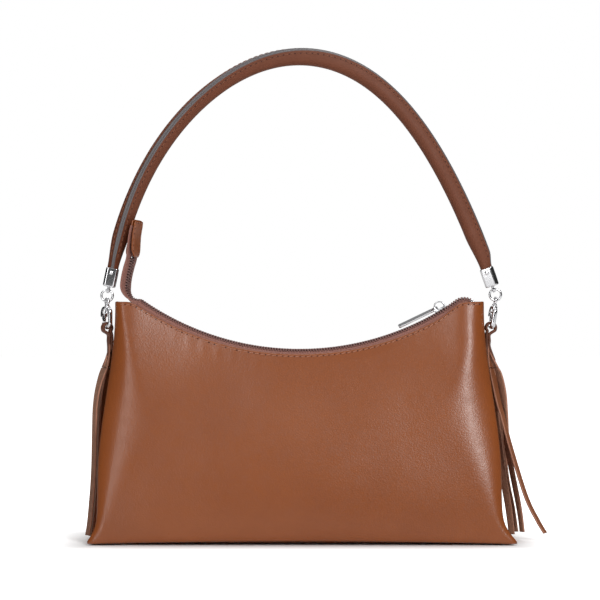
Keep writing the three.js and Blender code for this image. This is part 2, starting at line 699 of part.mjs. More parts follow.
function makeSlider() {
  const group = new THREE.Group();
  const frame = zipArcFrame(SLIDER_TURN);
  group.position.copy(frame.point);
  group.rotation.y = -SLIDER_TURN;
  bag.add(group);

  const half = SLIDER_LENGTH / 2;
  const wedge = new THREE.Shape();
  wedge.moveTo(-half, -SLIDER_NARROW);
  wedge.quadraticCurveTo(0, -SLIDER_NARROW, half, -SLIDER_WIDE);
  wedge.lineTo(half, SLIDER_WIDE);
  wedge.quadraticCurveTo(0, SLIDER_NARROW, -half, SLIDER_NARROW);
  const top = slab(wedge, SLIDER_PLATE).translate(0, 0, SLIDER_TOP);
  const underShape = roundedRectangle(SLIDER_UNDER_LENGTH, 2 * SLIDER_UNDER_HALF_WIDTH, SLIDER_ROUNDING);
  const under = slab(underShape, SLIDER_PLATE).translate(0, 0, -SLIDER_TOP - SLIDER_PLATE);
  const post = new THREE.BoxGeometry(
    SLIDER_POST_LENGTH,
    2 * SLIDER_POST_HALF_WIDTH,
    2 * SLIDER_TOP + SLIDER_PLATE,
  );
  post.translate(half - SLIDER_POST_LENGTH, 0, 0);

  // The bridge is a thin arch along the chain, which the pull hangs from.
  const arch = new THREE.Shape();
  const [outerHalf, innerHalf] = [BRIDGE_LENGTH / 2, BRIDGE_LENGTH / 2 - BRIDGE_WALL];
  const foot = SLIDER_TOP + SLIDER_PLATE / 2;
  const crown = SLIDER_TOP + SLIDER_PLATE + BRIDGE_HEIGHT;
  const springing = crown - outerHalf;
  arch.moveTo(outerHalf, foot);
  arch.lineTo(outerHalf, springing);
  arch.absarc(0, springing, outerHalf, 0, Math.PI);
  arch.lineTo(-outerHalf, foot);
  arch.lineTo(-innerHalf, foot);
  arch.lineTo(-innerHalf, springing);
  arch.absarc(0, springing, innerHalf, Math.PI, 0, true);
  arch.lineTo(innerHalf, foot);
  const bridge = plateAlong(arch, BRIDGE_WIDTH);
  addPiece("zip_slider", join(top, under, post, bridge), NICKEL_FINISH, group);
  makePull(group);
}

// The pull is a long flat bar looped round the bridge; its far end lies back on the rising chain.
function makePull(group) {
  const hinge = new THREE.Group();
  hinge.position.set(PULL_AXIS_PLACE, 0, PULL_AXIS_HEIGHT);
  const reach = PULL_LENGTH - PULL_AXIS_PLACE;
  const chainTop = (reach * reach) / (2 * ZIP_RADIUS) + TOOTH_HEIGHT / 2;
  hinge.rotation.y = Math.asin((chainTop + GAP + PULL_THICKNESS / 2 - PULL_AXIS_HEIGHT) / PULL_LENGTH);
  group.add(hinge);
  const near = PULL_LENGTH / 2;
  const outline = roundedRectangle(PULL_LENGTH, PULL_WIDTH, PULL_ROUNDING);
  const slot = new THREE.Path();
  const slotHalf = BRIDGE_WIDTH / 2 + GAP;
  slot.moveTo(near - PULL_LOOP_WALL, -slotHalf);
  slot.lineTo(near - PULL_LOOP_LENGTH, -slotHalf);
  slot.lineTo(near - PULL_LOOP_LENGTH, slotHalf);
  slot.lineTo(near - PULL_LOOP_WALL, slotHalf);
  slot.closePath();
  outline.holes.push(slot);
  const bar = slab(outline, PULL_THICKNESS);
  bar.translate(PULL_LOOP_WALL / 2 - near, 0, -PULL_THICKNESS / 2);
  addPiece("zip_pull", bar, NICKEL_FINISH, hinge);
}

// Free tail of the zip, standing up at the left with a folded leather tab on its end.
function makeTail() {
  const route = new THREE.CatmullRomCurve3(TAIL_ROUTE.map(([x, z]) => new THREE.Vector3(x, 0, z)));
  const length = route.getLength();
  const frameAt = (s) => {
    const share = THREE.MathUtils.clamp(s / length, 0, 1);
    const twist = TAIL_TWIST * smoothstep(s, 0, TAIL_TWIST_LENGTH);
    return frameOn(route.getPointAt(share), route.getTangentAt(share).negate(), twist);
  };
  const tabStart = length - TAB_LENGTH;
  const chainEnd = tabStart - GAP;
  for (const [word, facing] of [
    ["front", -1],
    ["back", 1],
  ]) {
    const row = teethRow(frameAt, GAP, chainEnd, facing, () => 0);
    addPiece(`zip_tail_teeth_${word}`, row, TEETH_FINISH);
    const widening = (s) => smoothstep(s, 0, TAIL_TWIST_LENGTH);
    const outerEdge = (s) => facing * lerp(TAPE_SHOULDER, TAIL_HALF_WIDTH, widening(s));
    const innerEdge = () => facing * TAPE_EDGE;
    const stations = spread(GAP, tabStart + TAB_TAPE_GRIP, 16);
    const tape = cells(frameAt, stations, [innerEdge, outerEdge], () => true, -TAPE / 2, TAPE / 2);
    addPiece(`zip_tail_tape_${word}`, tape, TAPE_FINISH);
  }

  const top = frameAt(length);
  const foot = frameAt(tabStart);
  const along = top.point.clone().sub(foot.point).normalize();
  const outward = new THREE.Vector3().crossVectors(foot.side, along).normalize();
  const tab = new THREE.Group();
  tab.matrixAutoUpdate = false;
  tab.matrix.makeBasis(outward, foot.side, along).setPosition(foot.point);
  bag.add(tab);
  const fold = TAPE / 2 + GAP + TAB_LEATHER / 2;
  const turnUp = TAB_LENGTH - fold;
  const bend = spread(0, Math.PI, 6).map((a) => [fold * Math.cos(a), turnUp + fold * Math.sin(a)]);
  const leaf = [
    [fold + TAB_SPLAY, 0],
    [fold, TAB_SPLAY_HEIGHT],
  ];
  const otherLeaf = leaf.map(([x, z]) => [-x, z]).reverse();
  const folded = new THREE.Shape(stripOutline([...leaf, ...bend, ...otherLeaf], TAB_LEATHER));
  addPiece("zip_end_tab", plateAlong(folded, TAB_WIDTH), LEATHER_FINISH, tab);
}

// Shoulder strap: an arch of folded leather round a core, whose two edges meet on the outside.

const STRAP_CENTRE = STRAP_APEX - STRAP_RISE;
const STRAP_TURN = Math.acos((STRAP_END_HEIGHT - STRAP_CENTRE) / STRAP_RISE);

function strapPoint(turn) {
  const z = STRAP_CENTRE + STRAP_RISE * Math.cos(turn);
  const lean = STRAP_LEAN * Math.sin((Math.PI * (z - STRAP_END_HEIGHT)) / (STRAP_APEX - STRAP_END_HEIGHT));
  return new THREE.Vector3(STRAP_HALF_SPAN * Math.sin(turn) - Math.max(lean, 0), 0, z);
}

function strapHeading(turn) {
  const step = 1e-3;
  const limit = STRAP_TURN - step;
  const near = THREE.MathUtils.clamp(turn, -limit, limit);
  return strapPoint(near + step).sub(strapPoint(near - step)).normalize();
}

function strapTwist(turn) {
  const q = turn / STRAP_TURN;
  const bow = (STRAP_TWIST_LEFT + STRAP_TWIST_RIGHT) / 2 - STRAP_TWIST_APEX;
  const slope = (STRAP_TWIST_RIGHT - STRAP_TWIST_LEFT) / 2;
  return THREE.MathUtils.degToRad(STRAP_TWIST_APEX + slope * q + bow * q * q);
}

// Out is the direction of the seamed edge and across is square to it.
function strapFrame(turn) {
  const along = strapHeading(turn);
  const outside = new THREE.Vector3(-along.z, 0, along.x);
  const twist = strapTwist(turn);
  return {
    point: strapPoint(turn),
    along,
    out: outside.clone().multiplyScalar(Math.cos(twist)).addScaledVector(Y_AXIS, -Math.sin(twist)),
    across: Y_AXIS.clone().multiplyScalar(Math.cos(twist)).addScaledVector(outside, Math.sin(twist)),
  };
}

const STRAP_ROUND = STRAP_WIDTH / 2;
const STRAP_ROUND_CENTRE = STRAP_ROUND - STRAP_DEPTH / 2;

// Section of the folded leather: the outside of the fold, then the inside back to the slit.
function strapSection() {
  const tip = STRAP_DEPTH / 2;
  const half = STRAP_EDGE_WIDTH / 2;
  const slit = STRAP_SLIT / 2;
  const arcPoint = (radius, angle) => [
    STRAP_ROUND_CENTRE + radius * Math.cos(angle),
    radius * Math.sin(angle),
  ];
  const outside = spread(-STRAP_FOLD_TURN, STRAP_FOLD_TURN, 7).map((a) => arcPoint(STRAP_ROUND, Math.PI + a));
  const hollow = STRAP_ROUND - STRAP_LEATHER;
  const inside = spread(STRAP_HOLLOW_TURN, -STRAP_HOLLOW_TURN, 5).map((a) => arcPoint(hollow, Math.PI + a));
  const neck = STRAP_ROUND_CENTRE + STRAP_ROUND;
  return [
    [tip, half],
    [neck, half],
    ...outside,
    [neck, -half],
    [tip, -half],
    [tip, -slit],
    ...inside,
    [tip, slit],
  ].map(([out, across]) => new THREE.Vector2(out, across));
}

const CAP_POCKET_DEPTH = CAP_LENGTH - CAP_FLOOR;
const CAP_FIT_DEPTH = (CAP_DEPTH - 2 * CAP_WALL - 2 * GAP) / STRAP_DEPTH;
const CAP_FIT_WIDTH = (CAP_WIDTH - 2 * CAP_WALL - 2 * GAP) / STRAP_WIDTH;

function makeStrap() {
  const section = strapSection();
  const taper = STRAP_TAPER_LENGTH / STRAP_RISE;
  const middle = spread(-STRAP_TURN + taper, STRAP_TURN - taper, 26);
  const ring = (frame, depthScale, widthScale) =>
    section.map(({ x, y }) =>
      frame.point
        .clone()
        .addScaledVector(frame.out, x * depthScale)
        .addScaledVector(frame.across, y * widthScale),
    );
  const gripped = (turn) => {
    const frame = strapFrame(turn);
    const reach = Math.sign(turn) * (CAP_POCKET_DEPTH - GAP);
    frame.point.addScaledVector(frame.along, reach);
    return ring(frame, CAP_FIT_DEPTH, CAP_FIT_WIDTH);
  };
  const tapered = (sign) =>
    spread(0, 1, 4)
      .slice(1)
      .map((share) => {
        const frame = strapFrame(sign * (STRAP_TURN - taper * (1 - share)));
        const eased = smoothstep(share, 0, 1);
        return ring(frame, lerp(1, CAP_FIT_DEPTH, eased), lerp(1, CAP_FIT_WIDTH, eased));
      });
  const rings = [
    gripped(-STRAP_TURN),
    ...tapered(-1).reverse(),
    ...middle.map((turn) => ring(strapFrame(turn), 1, 1)),
    ...tapered(1),
    gripped(STRAP_TURN),
  ];
  const rivetHoles = [-1, 1].map((side) => {
    const hole = cylinder(RIVET_RADIUS + GAP, 2 * CAP_DEPTH, Y_AXIS);
    return hole.applyMatrix4(capMatrix(side).multiply(rivetMatrix(side)));
  });
  addPiece("strap_leather", cut(loft(rings, section), ...rivetHoles), STRAP_FINISH);

  const circle = new THREE.Path().absarc(STRAP_ROUND_CENTRE, 0, STRAP_CORE_RADIUS, 0, 2 * Math.PI);
  const round = circle.getPoints(4).slice(1);
  const coreRings = middle.map((turn) => {
    const frame = strapFrame(turn);
    return round.map(({ x, y }) =>
      frame.point.clone().addScaledVector(frame.out, x).addScaledVector(frame.across, y),
    );
  });
  addPiece("strap_core", loft(coreRings, round), BOARD_FINISH);
}

// A cap's own frame has Z up along the strap, X along the strap's seamed edge and Y across it.
function capMatrix(side) {
  const frame = strapFrame(side * STRAP_TURN);
  const up = frame.along.clone().multiplyScalar(-side);
  const across = new THREE.Vector3().crossVectors(up, frame.out);
  return new THREE.Matrix4().makeBasis(frame.out, across, up).setPosition(frame.point);
}

// The rivet goes through the face of the cap that looks to the front.
function rivetMatrix(side) {
  const turn = side < 0 ? Math.PI / 2 : 0;
  return new THREE.Matrix4().makeRotationZ(turn).setPosition(0, 0, -RIVET_FROM_RIM);
}

function matrixGroup(matrix) {
  const group = new THREE.Group();
  group.matrixAutoUpdate = false;
  group.matrix.copy(matrix);
  bag.add(group);
  return group;
}

function makeCap(word, side) {
  const frame = capMatrix(side);
  const cap = matrixGroup(frame);
  const cupShape = roundedRectangle(CAP_DEPTH, CAP_WIDTH, CAP_ROUNDING);
  const cup = slab(cupShape, CAP_LENGTH).translate(0, 0, -CAP_LENGTH);
  const [roomDeep, roomWide] = [CAP_DEPTH - 2 * CAP_WALL, CAP_WIDTH - 2 * CAP_WALL];
  const pocketShape = roundedRectangle(roomDeep, roomWide, CAP_ROUNDING - CAP_WALL);
  const pocket = slab(pocketShape, CAP_LENGTH).translate(0, 0, -CAP_POCKET_DEPTH);
  const rivetHole = cylinder(RIVET_RADIUS + GAP, 2 * CAP_DEPTH, Y_AXIS).applyMatrix4(rivetMatrix(side));

  // The lug under the cup stands square to the ring, whatever the twist of the strap.
  const tongue = new THREE.Shape();
  tongue.moveTo(-LUG_RADIUS, LUG_DROP + CAP_FLOOR / 2);
  tongue.lineTo(-LUG_RADIUS, 0);
  tongue.absarc(0, 0, LUG_RADIUS, Math.PI, 2 * Math.PI);
  tongue.lineTo(LUG_RADIUS, LUG_DROP + CAP_FLOOR / 2);
  const eye = new THREE.Path();
  eye.absarc(0, 0, RING_WIRE + RING_CLEARANCE, 0, 2 * Math.PI);
  tongue.holes.push(eye);
  const lug = plateAcross(tongue, LUG_THICKNESS);
  lug.translate(0, 0, -CAP_LENGTH - LUG_DROP);
  lug.rotateZ(side * strapTwist(side * STRAP_TURN));
  addPiece(`${word}_strap_cap`, join(cut(cup, pocket, rivetHole), lug), NICKEL_FINISH, cap);

  const rivetGroup = matrixGroup(frame.clone().multiply(rivetMatrix(side)));
  const throughCap = side < 0 ? CAP_DEPTH : CAP_WIDTH;
  const shank = cylinder(RIVET_RADIUS, throughCap + 2 * GAP + RIVET_HEAD_HEIGHT, Y_AXIS);
  const heads = [-1, 1].map((end) => {
    const head = cylinder(RIVET_HEAD_RADIUS, RIVET_HEAD_HEIGHT, Y_AXIS);
    return head.translate(0, end * (throughCap / 2 + GAP + RIVET_HEAD_HEIGHT / 2), 0);
  });
  addPiece(`${word}_cap_rivet`, join(shank, ...heads), NICKEL_FINISH, rivetGroup);
}

// The ring hangs in line with its cap.
function ringCentre(side) {
  return new THREE.Vector3(0, 0, -CAP_LENGTH - LUG_DROP - RING_RADIUS).applyMatrix4(capMatrix(side));
}

function makeRing(word, side) {
  const ring = new THREE.TorusGeometry(RING_RADIUS, RING_WIRE, 6, 20).rotateX(Math.PI / 2);
  const mesh = addPiece(`${word}_strap_ring`, ring, NICKEL_FINISH);
  mesh.position.copy(ringCentre(side));
}

// A clasp is drawn with its hook open to +Y and its height measured from the foot of the hook.

function claspTurn(side) {
  return side < 0 ? CLASP_TURN_LEFT : CLASP_TURN_RIGHT;
}

function eyeHeight(side) {
  return ringCentre(side).z - RING_RADIUS - HOOK_BOTTOM;
}

// The clasp hangs by its eye from the strap's ring; the right one leans in towards the bag.
function claspMatrix(side) {
  const lean = new THREE.Matrix4().makeRotationY(side < 0 ? 0 : CLASP_LEAN_RIGHT);
  const turned = lean.multiply(new THREE.Matrix4().makeRotationZ(claspTurn(side)));
  turned.setPosition(ringCentre(side).addScaledVector(Z_AXIS, -RING_RADIUS));
  return turned.multiply(new THREE.Matrix4().makeTranslation(0, 0, -eyeHeight(side)));
}

const HOOK_OUTER = HOOK_RADIUS + HOOK_WIRE / 2;
const HOOK_INNER = HOOK_RADIUS - HOOK_WIRE / 2;
const HOOK_CENTRE = HOOK_OUTER;
const SLOT_HALF = LEVER_THICKNESS / 2 + GAP;

function hookShape() {
  const shape = new THREE.Shape();
  shape.moveTo(HOOK_OUTER, HOOK_CENTRE);
  shape.absarc(0, HOOK_CENTRE, HOOK_OUTER, 0, Math.PI, true);
  shape.lineTo(-HOOK_OUTER, LIMB_TOP);
  shape.quadraticCurveTo(-HOOK_OUTER, BRIDGE_TOP, -COLLAR_HALF_WIDTH, BRIDGE_TOP);
  shape.lineTo(COLLAR_HALF_WIDTH, BRIDGE_TOP);
  shape.quadraticCurveTo(HOOK_OUTER, BRIDGE_TOP, HOOK_OUTER, LIMB_TOP);
  shape.lineTo(HOOK_OUTER, LEVER_OPENING);
  shape.lineTo(HOOK_INNER, LEVER_OPENING);
  shape.lineTo(HOOK_INNER, WINDOW_TOP);
  shape.lineTo(-HOOK_INNER, WINDOW_TOP);
  shape.lineTo(-HOOK_INNER, HOOK_CENTRE);
  shape.absarc(0, HOOK_CENTRE, HOOK_INNER, Math.PI, 2 * Math.PI);
  return shape;
}

function leverShape() {
  const [inner, outer] = [HOOK_INNER + GAP / 2, HOOK_OUTER - GAP / 2];
  const tip = HOOK_CENTRE + GAP;
  const thumb = lerp(tip, LEVER_PIVOT, LEVER_THUMB_PLACE);
  const shape = new THREE.Shape();
  shape.moveTo(inner, tip);
  shape.lineTo(outer, tip);
  shape.lineTo(outer, thumb - LEVER_THUMB_HALF);
  shape.quadraticCurveTo(outer + 2 * LEVER_THUMB, thumb, outer, thumb + LEVER_THUMB_HALF);
  shape.lineTo(outer, LEVER_PIVOT);
  shape.absarc((inner + outer) / 2, LEVER_PIVOT, (outer - inner) / 2, 0, Math.PI);
  shape.lineTo(inner, tip);
  const hole = new THREE.Path();
  hole.absarc(HOOK_RADIUS, LEVER_PIVOT, PIN_RADIUS + GAP, 0, 2 * Math.PI);
  shape.holes.push(hole);
  return shape;
}

function makeClasp(word, side) {
  const group = matrixGroup(claspMatrix(side));
  const body = plateAcross(hookShape(), CLASP_THICKNESS, CLASP_BEVEL);
  const slotTop = LEVER_PIVOT + HOOK_WIRE / 2 + GAP;
  const slot = new THREE.BoxGeometry(2 * SLOT_HALF, 2 * HOOK_WIRE, slotTop - LEVER_OPENING + GAP);
  slot.translate(0, HOOK_INNER - GAP + HOOK_WIRE, (slotTop + LEVER_OPENING - GAP) / 2);
  const pinHole = cylinder(PIN_RADIUS + GAP, 2 * CLASP_THICKNESS, X_AXIS, 8);
  pinHole.translate(0, HOOK_RADIUS, LEVER_PIVOT);
  const stemHole = cylinder(STEM_RADIUS + GAP, BRIDGE_TOP, Z_AXIS);
  stemHole.translate(0, 0, BRIDGE_TOP);
  addPiece(`${word}_clasp_hook`, cut(body, slot, pinHole, stemHole), NICKEL_FINISH, group);

  addPiece(`${word}_clasp_lever`, plateAcross(leverShape(), LEVER_THICKNESS), NICKEL_FINISH, group);
  const pin = cylinder(PIN_RADIUS, CLASP_THICKNESS, X_AXIS, 8).translate(0, HOOK_RADIUS, LEVER_PIVOT);
  addPiece(`${word}_clasp_pin`, pin, NICKEL_FINISH, group);

  // A leaf spring in the slot leans on the inner face of the lever.
  const leafFace = HOOK_INNER - GAP / 2 - SPRING_THICKNESS / 2;
  const leaf = [
    [leafFace - GAP, WINDOW_TOP - GAP],
    [leafFace, LEVER_PIVOT],
    [leafFace, LEVER_OPENING - SPRING_REACH],
  ];
  const leafShape = new THREE.Shape(stripOutline(leaf, SPRING_THICKNESS));
  addPiece(`${word}_clasp_spring`, plateAcross(leafShape, SPRING_WIDTH), NICKEL_FINISH, group);
  makeEye(word, side, group);
}

// The swivel eye turns on its stem in the top of the clasp, and the strap's ring passes through it.
function makeEye(word, side, group) {
  const height = eyeHeight(side);
  const eyeShape = new THREE.Shape();
  eyeShape.absarc(0, height, EYE_RADIUS, 0, 2 * Math.PI);
  const hole = new THREE.Path();
  hole.absarc(0, height, EYE_HOLE, 0, 2 * Math.PI);
  eyeShape.holes.push(hole);
  const eye = plateAcross(eyeShape, EYE_THICKNESS);
  const headTop = WINDOW_TOP - GAP;
  const stemFoot = headTop - STEM_HEAD_HEIGHT / 2;
  const stemTop = height - (EYE_RADIUS + EYE_HOLE) / 2;
  const stem = cylinder(STEM_RADIUS, stemTop - stemFoot, Z_AXIS);
  stem.translate(0, 0, (stemTop + stemFoot) / 2);
  const head = cylinder(STEM_HEAD_RADIUS, STEM_HEAD_HEIGHT, Z_AXIS);
  head.translate(0, 0, headTop - STEM_HEAD_HEIGHT / 2);
  const collarFoot = BRIDGE_TOP + GAP;
  const collarHeight = height - EYE_HOLE - (EYE_RADIUS - EYE_HOLE) / 2 - collarFoot;
  const collar = cylinder(COLLAR_HALF_WIDTH, collarHeight / 2, Z_AXIS);
  collar.translate(0, 0, collarFoot + collarHeight / 4);
  addPiece(`${word}_clasp_eye`, join(eye, stem, head, collar), NICKEL_FINISH, group);
}

// Leather loop tab: a strip that lies on the gusset, goes up round the foot of the hook, where its
// two legs are pinched together, and comes down outside.

// How far out the gusset reaches under the width of the loop tab.
function gussetFace(z) {
  const v = (z - BOTTOM_LIFT) / (topEdge(TOP_HALF_WIDTH) - BOTTOM_LIFT);
  const w = LOOP_WIDTH_FOOT / 2 / (seamHalfDepth(v) - SEAM_STEP);
  return gussetPoint(w, v, 1, GUSSET_RECESS).x;
}

const LOOP_RADIUS = CLASP_THICKNESS / 2 + LOOP_CLEARANCE + LOOP_LEATHER / 2;

function makeLoopTab(word, side) {
  const foot = new THREE.Vector3().setFromMatrixPosition(claspMatrix(side));
  const hang = foot.x;
  const reach = Math.abs(hang);
  const centre = foot.z + HOOK_WIRE / 2;
  const outerReach = side < 0 ? TAB_OUTER_REACH_LEFT : TAB_OUTER_REACH_RIGHT;
  const outerFoot = side < 0 ? TAB_OUTER_FOOT_LEFT : TAB_OUTER_FOOT_RIGHT;
  const seat = (z) => gussetFace(z) + LOOP_SEAT + LOOP_LEATHER / 2;
  const over = spread(Math.PI + LOOP_WRAP, -LOOP_WRAP, 9).map((a) => [
    reach + LOOP_RADIUS * Math.cos(a),
    centre + LOOP_RADIUS * Math.sin(a),
  ]);
  const pinch = reach - PINCH_SHIFT;
  const pinchHalf = (LOOP_LEATHER + PINCH_GAP) / 2;
  const middle = (TAB_FOOT + TAB_SEAT_TOP) / 2;
  const line = [
    [seat(TAB_FOOT), TAB_FOOT],
    [seat(middle), middle],
    [seat(TAB_SEAT_TOP), TAB_SEAT_TOP],
    [pinch - pinchHalf, PINCH_FOOT],
    [pinch - pinchHalf, PINCH_HEIGHT],
    ...over,
    [pinch + pinchHalf, PINCH_HEIGHT],
    [pinch + pinchHalf, PINCH_FOOT],
    [outerReach, outerFoot],
  ].map(([x, z]) => [side * x - hang, z]);

  // The strip narrows towards the hook and turns with it.
  const outline = stripOutline(line, LOOP_LEATHER);
  const rings = line.map(([, z], i) => {
    const rise = smoothstep(z, TAB_SEAT_TOP, centre);
    const half = lerp(LOOP_WIDTH_FOOT, LOOP_WIDTH_TOP, rise) / 2;
    const [one, other] = [outline[i], outline[outline.length - 1 - i]];
    return [
      new THREE.Vector3(one.x, -half, one.y),
      new THREE.Vector3(other.x, -half, other.y),
      new THREE.Vector3(other.x, half, other.y),
      new THREE.Vector3(one.x, half, one.y),
    ].map((corner) => corner.applyAxisAngle(Z_AXIS, claspTurn(side) * rise));
  });
  const tab = addPiece(`${word}_loop_tab`, loft(rings, UNIT_SQUARE), LEATHER_FINISH);
  tab.position.x = hang;

  // The head of the tassel lies between the legs and flares out below the outer one.
  const clear = LOOP_LEATHER * LEG_SLOPE_ALLOWANCE + GAP;
  const legShare = (z, from, to) => Math.max((z - from) / (to - from), 0);
  const innerFace = (z) => {
    const share = legShare(z, TAB_SEAT_TOP, PINCH_FOOT);
    return lerp(seat(Math.min(z, TAB_SEAT_TOP)), pinch - pinchHalf, share) + clear;
  };
  const outerFace = (z) => lerp(pinch + pinchHalf, outerReach, legShare(z, PINCH_FOOT, outerFoot)) - clear;
  const headShape = new THREE.Shape();
  const corners = [
    [innerFace(HEAD_FOOT), HEAD_FOOT],
    [outerReach + HEAD_FLARE, HEAD_FOOT],
    [outerFace(outerFoot), outerFoot - GAP],
    [outerFace(HEAD_TOP), HEAD_TOP],
    [innerFace(HEAD_TOP), HEAD_TOP],
    [innerFace(TAB_SEAT_TOP), TAB_SEAT_TOP],
  ].map(([x, z]) => new THREE.Vector2(side * x, z));
  headShape.setFromPoints(corners);
  addPiece(`${word}_tassel_head`, plateAlong(headShape, HEAD_WIDTH), FRINGE_FINISH);
}

// Fringe strips: where each starts between the bag and the outside, how far it swings out and fans
// across, ends above the ground, bows, flares below the head and turns, as shares of the sizes.
const LEFT_FRINGE = [
  { top: 1, out: 0.85, across: -0.95, foot: 1.15, bow: 0, flare: 0.85, turn: 1.2 },
  { top: 0.75, out: 0.72, across: -0.33, foot: 0.8, bow: 0.1, flare: 0.8, turn: 1 },
  { top: 0.5, out: 0.55, across: 0.29, foot: 1.4, bow: 0.2, flare: 0.8, turn: -0.9 },
  { top: 0.25, out: 0.65, across: 0.93, foot: 1, bow: 0.2, flare: 0.9, turn: -1 },
];
const RIGHT_FRINGE = [
  { top: 0.25, out: 1.2, across: -1, foot: 1.2, bow: -0.1, flare: 1.15, turn: 1.1 },
  { top: 1, out: 1.5, across: -0.35, foot: 1.8, bow: -0.5, flare: 0.9, turn: -1.1 },
  { top: 0.7, out: 1.35, across: 0.31, foot: 1.05, bow: -0.4, flare: 1, turn: -0.9 },
  { top: 0.9, out: 2.6, across: 0.95, foot: 1.65, bow: -1.3, flare: 0.6, turn: 0.6 },
];

function fringeStrip(side, topX, topY, strip) {
  const footX = FRINGE_HANG + FRINGE_SWING_OUT * strip.out;
  const footY = FRINGE_HALF_FAN * strip.across;
  const footZ = FRINGE_FOOT * strip.foot;
  const half = FRINGE_STRIP_WIDTH / 2;
  const thin = FRINGE_LEATHER / 2;
  const section = [
    [-half, -thin],
    [half, -thin],
    [half, thin],
    [-half, thin],
  ].map(([y, x]) => new THREE.Vector2(y, x));
  const rings = spread(0, 1, FRINGE_STEPS).map((share) => {
    const bow = FRINGE_BOW * strip.bow * Math.sin(Math.PI * share);
    const flare = FRINGE_FLARE * strip.flare * Math.sin(Math.PI * share ** FRINGE_FLARE_EARLY);
    const x = lerp(topX, footX, share) + bow + flare;
    const fan = smoothstep(share, 0, FRINGE_FAN_SHARE);
    const y = lerp(topY, footY, fan);
    const z = lerp(FRINGE_TOP, footZ, share);
    return section.map((p) => {
      const turned = p.clone().rotateAround(new THREE.Vector2(), -FRINGE_TURN * strip.turn * fan);
      return new THREE.Vector3(side * (x + turned.y), y + turned.x, z);
    });
  });
  return loft(rings, section);
}

function makeTassel(word, side, fringe) {
  const inner = gussetFace(FRINGE_TOP) + LOOP_SEAT + LOOP_LEATHER + GAP;
  const outer = (side < 0 ? TAB_OUTER_REACH_LEFT : TAB_OUTER_REACH_RIGHT) + HEAD_FLARE;
  const knot = slab(roundedRectangle(outer - inner, HEAD_WIDTH, HEAD_ROUNDING), FRINGE_KNOT_HEIGHT, 2);
  knot.translate((side * (inner + outer)) / 2, 0, FRINGE_TOP - FRINGE_KNOT_HEIGHT);
  const strips = fringe.map((strip, i) => {
    const topX = lerp(inner + FRINGE_LEATHER, outer - FRINGE_LEATHER, strip.top);
    const topY = lerp(-HEAD_WIDTH / 4, HEAD_WIDTH / 4, i / (fringe.length - 1));
    return fringeStrip(side, topX, topY, strip);
  });
  addPiece(`${word}_tassel`, join(knot, ...strips), FRINGE_FINISH);
}

makeBody();
makeBase();
makeLining();
makeZip();
makeSlider();
makeTail();
makeStrap();
for (const [word, side, fringe] of [
  ["left", -1, LEFT_FRINGE],
  ["right", 1, RIGHT_FRINGE],
]) {
  makeCap(word, side);
  makeRing(word, side);
  makeClasp(word, side);
  makeLoopTab(word, side);
  makeTassel(word, side, fringe);
}

export default bag;
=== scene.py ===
"""Leather baguette bag: soft leather shell, zip, strap and fittings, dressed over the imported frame."""
import random
from math import acos, asin, ceil, cos, exp, hypot, log, pi, radians, sin, sqrt

import bmesh
import bpy
from mathutils import Matrix, Vector, noise


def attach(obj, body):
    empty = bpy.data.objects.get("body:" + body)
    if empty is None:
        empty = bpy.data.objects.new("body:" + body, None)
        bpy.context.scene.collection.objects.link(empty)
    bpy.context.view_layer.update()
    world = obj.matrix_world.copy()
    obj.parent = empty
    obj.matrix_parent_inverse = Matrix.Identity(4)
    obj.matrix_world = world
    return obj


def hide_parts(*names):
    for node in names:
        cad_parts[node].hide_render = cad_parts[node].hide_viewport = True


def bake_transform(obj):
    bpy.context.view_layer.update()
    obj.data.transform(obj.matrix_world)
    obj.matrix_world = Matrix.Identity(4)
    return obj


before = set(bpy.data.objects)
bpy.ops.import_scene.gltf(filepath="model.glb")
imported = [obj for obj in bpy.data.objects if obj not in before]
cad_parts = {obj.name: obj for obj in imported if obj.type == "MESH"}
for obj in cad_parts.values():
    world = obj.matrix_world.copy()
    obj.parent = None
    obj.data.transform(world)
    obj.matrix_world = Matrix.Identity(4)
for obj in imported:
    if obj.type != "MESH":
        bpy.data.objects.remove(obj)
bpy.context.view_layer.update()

MM = 0.001

# Sizes are in millimetres and turns in radians. Keys -1 and 1 stand for the left and the right side.

# Sizes of the leather body
BASE_HALF_WIDTH, TOP_HALF_WIDTH, CORNER_HEIGHT = 131, 121.5, 157
NARROWING_FROM, NARROWING_TO = 45, 150
BASE_HALF_DEPTH, MOUTH_HALF_DEPTH = 38, 8.5
SEAM_DEPTH_BASE, SEAM_DEPTH_TOP = 35, 2.5
EDGE_ROLL_BASE, EDGE_ROLL_TOP, EDGE_ROLL_TURN = 5, 12, radians(72)
FLAT_SHARE, CORNER_SOFTNESS = 0.88, 1.2
EAR_REACH, EAR_HEIGHT, EAR_BLUNTING = {-1: 7.5, 1: 11}, {-1: 8, 1: 9.2}, 1.6
RIGHT_RISE, RIGHT_RISE_PLACE, RIGHT_RISE_SPREAD = 2.4, 103, 8
GUSSET_DIP, GUSSET_RECESS, SEAM_STEP = 5, 0.6, 1.1
BOTTOM_ARCH, BOTTOM_LIFT, LEATHER = 1.8, 0.5, 1.6
SIDE_ROLL_BASE, SIDE_ROLL, BELLY = 6, 34, 4.5
SIDE_ROLL_TOP, SIDE_ROLL_FALL = {-1: 6, 1: 13}, {-1: (0.45, 1), 1: (0.55, 0.86)}
WAVE_HEIGHT, PUCKER_HEIGHT, TUCK_DEPTH, TUCK_HEIGHT = 0.75, 0.22, 1.5, 5
LINING_FLOOR, LINING_INSET, LINING_THICKNESS = 4.2, 4.4, 0.8
STITCH_PITCH, STITCH_LENGTH, STITCH_LIFT, THREAD = 3.8, 2.7, 0.12, 0.3
TOP_STITCH_DROP = 1.8

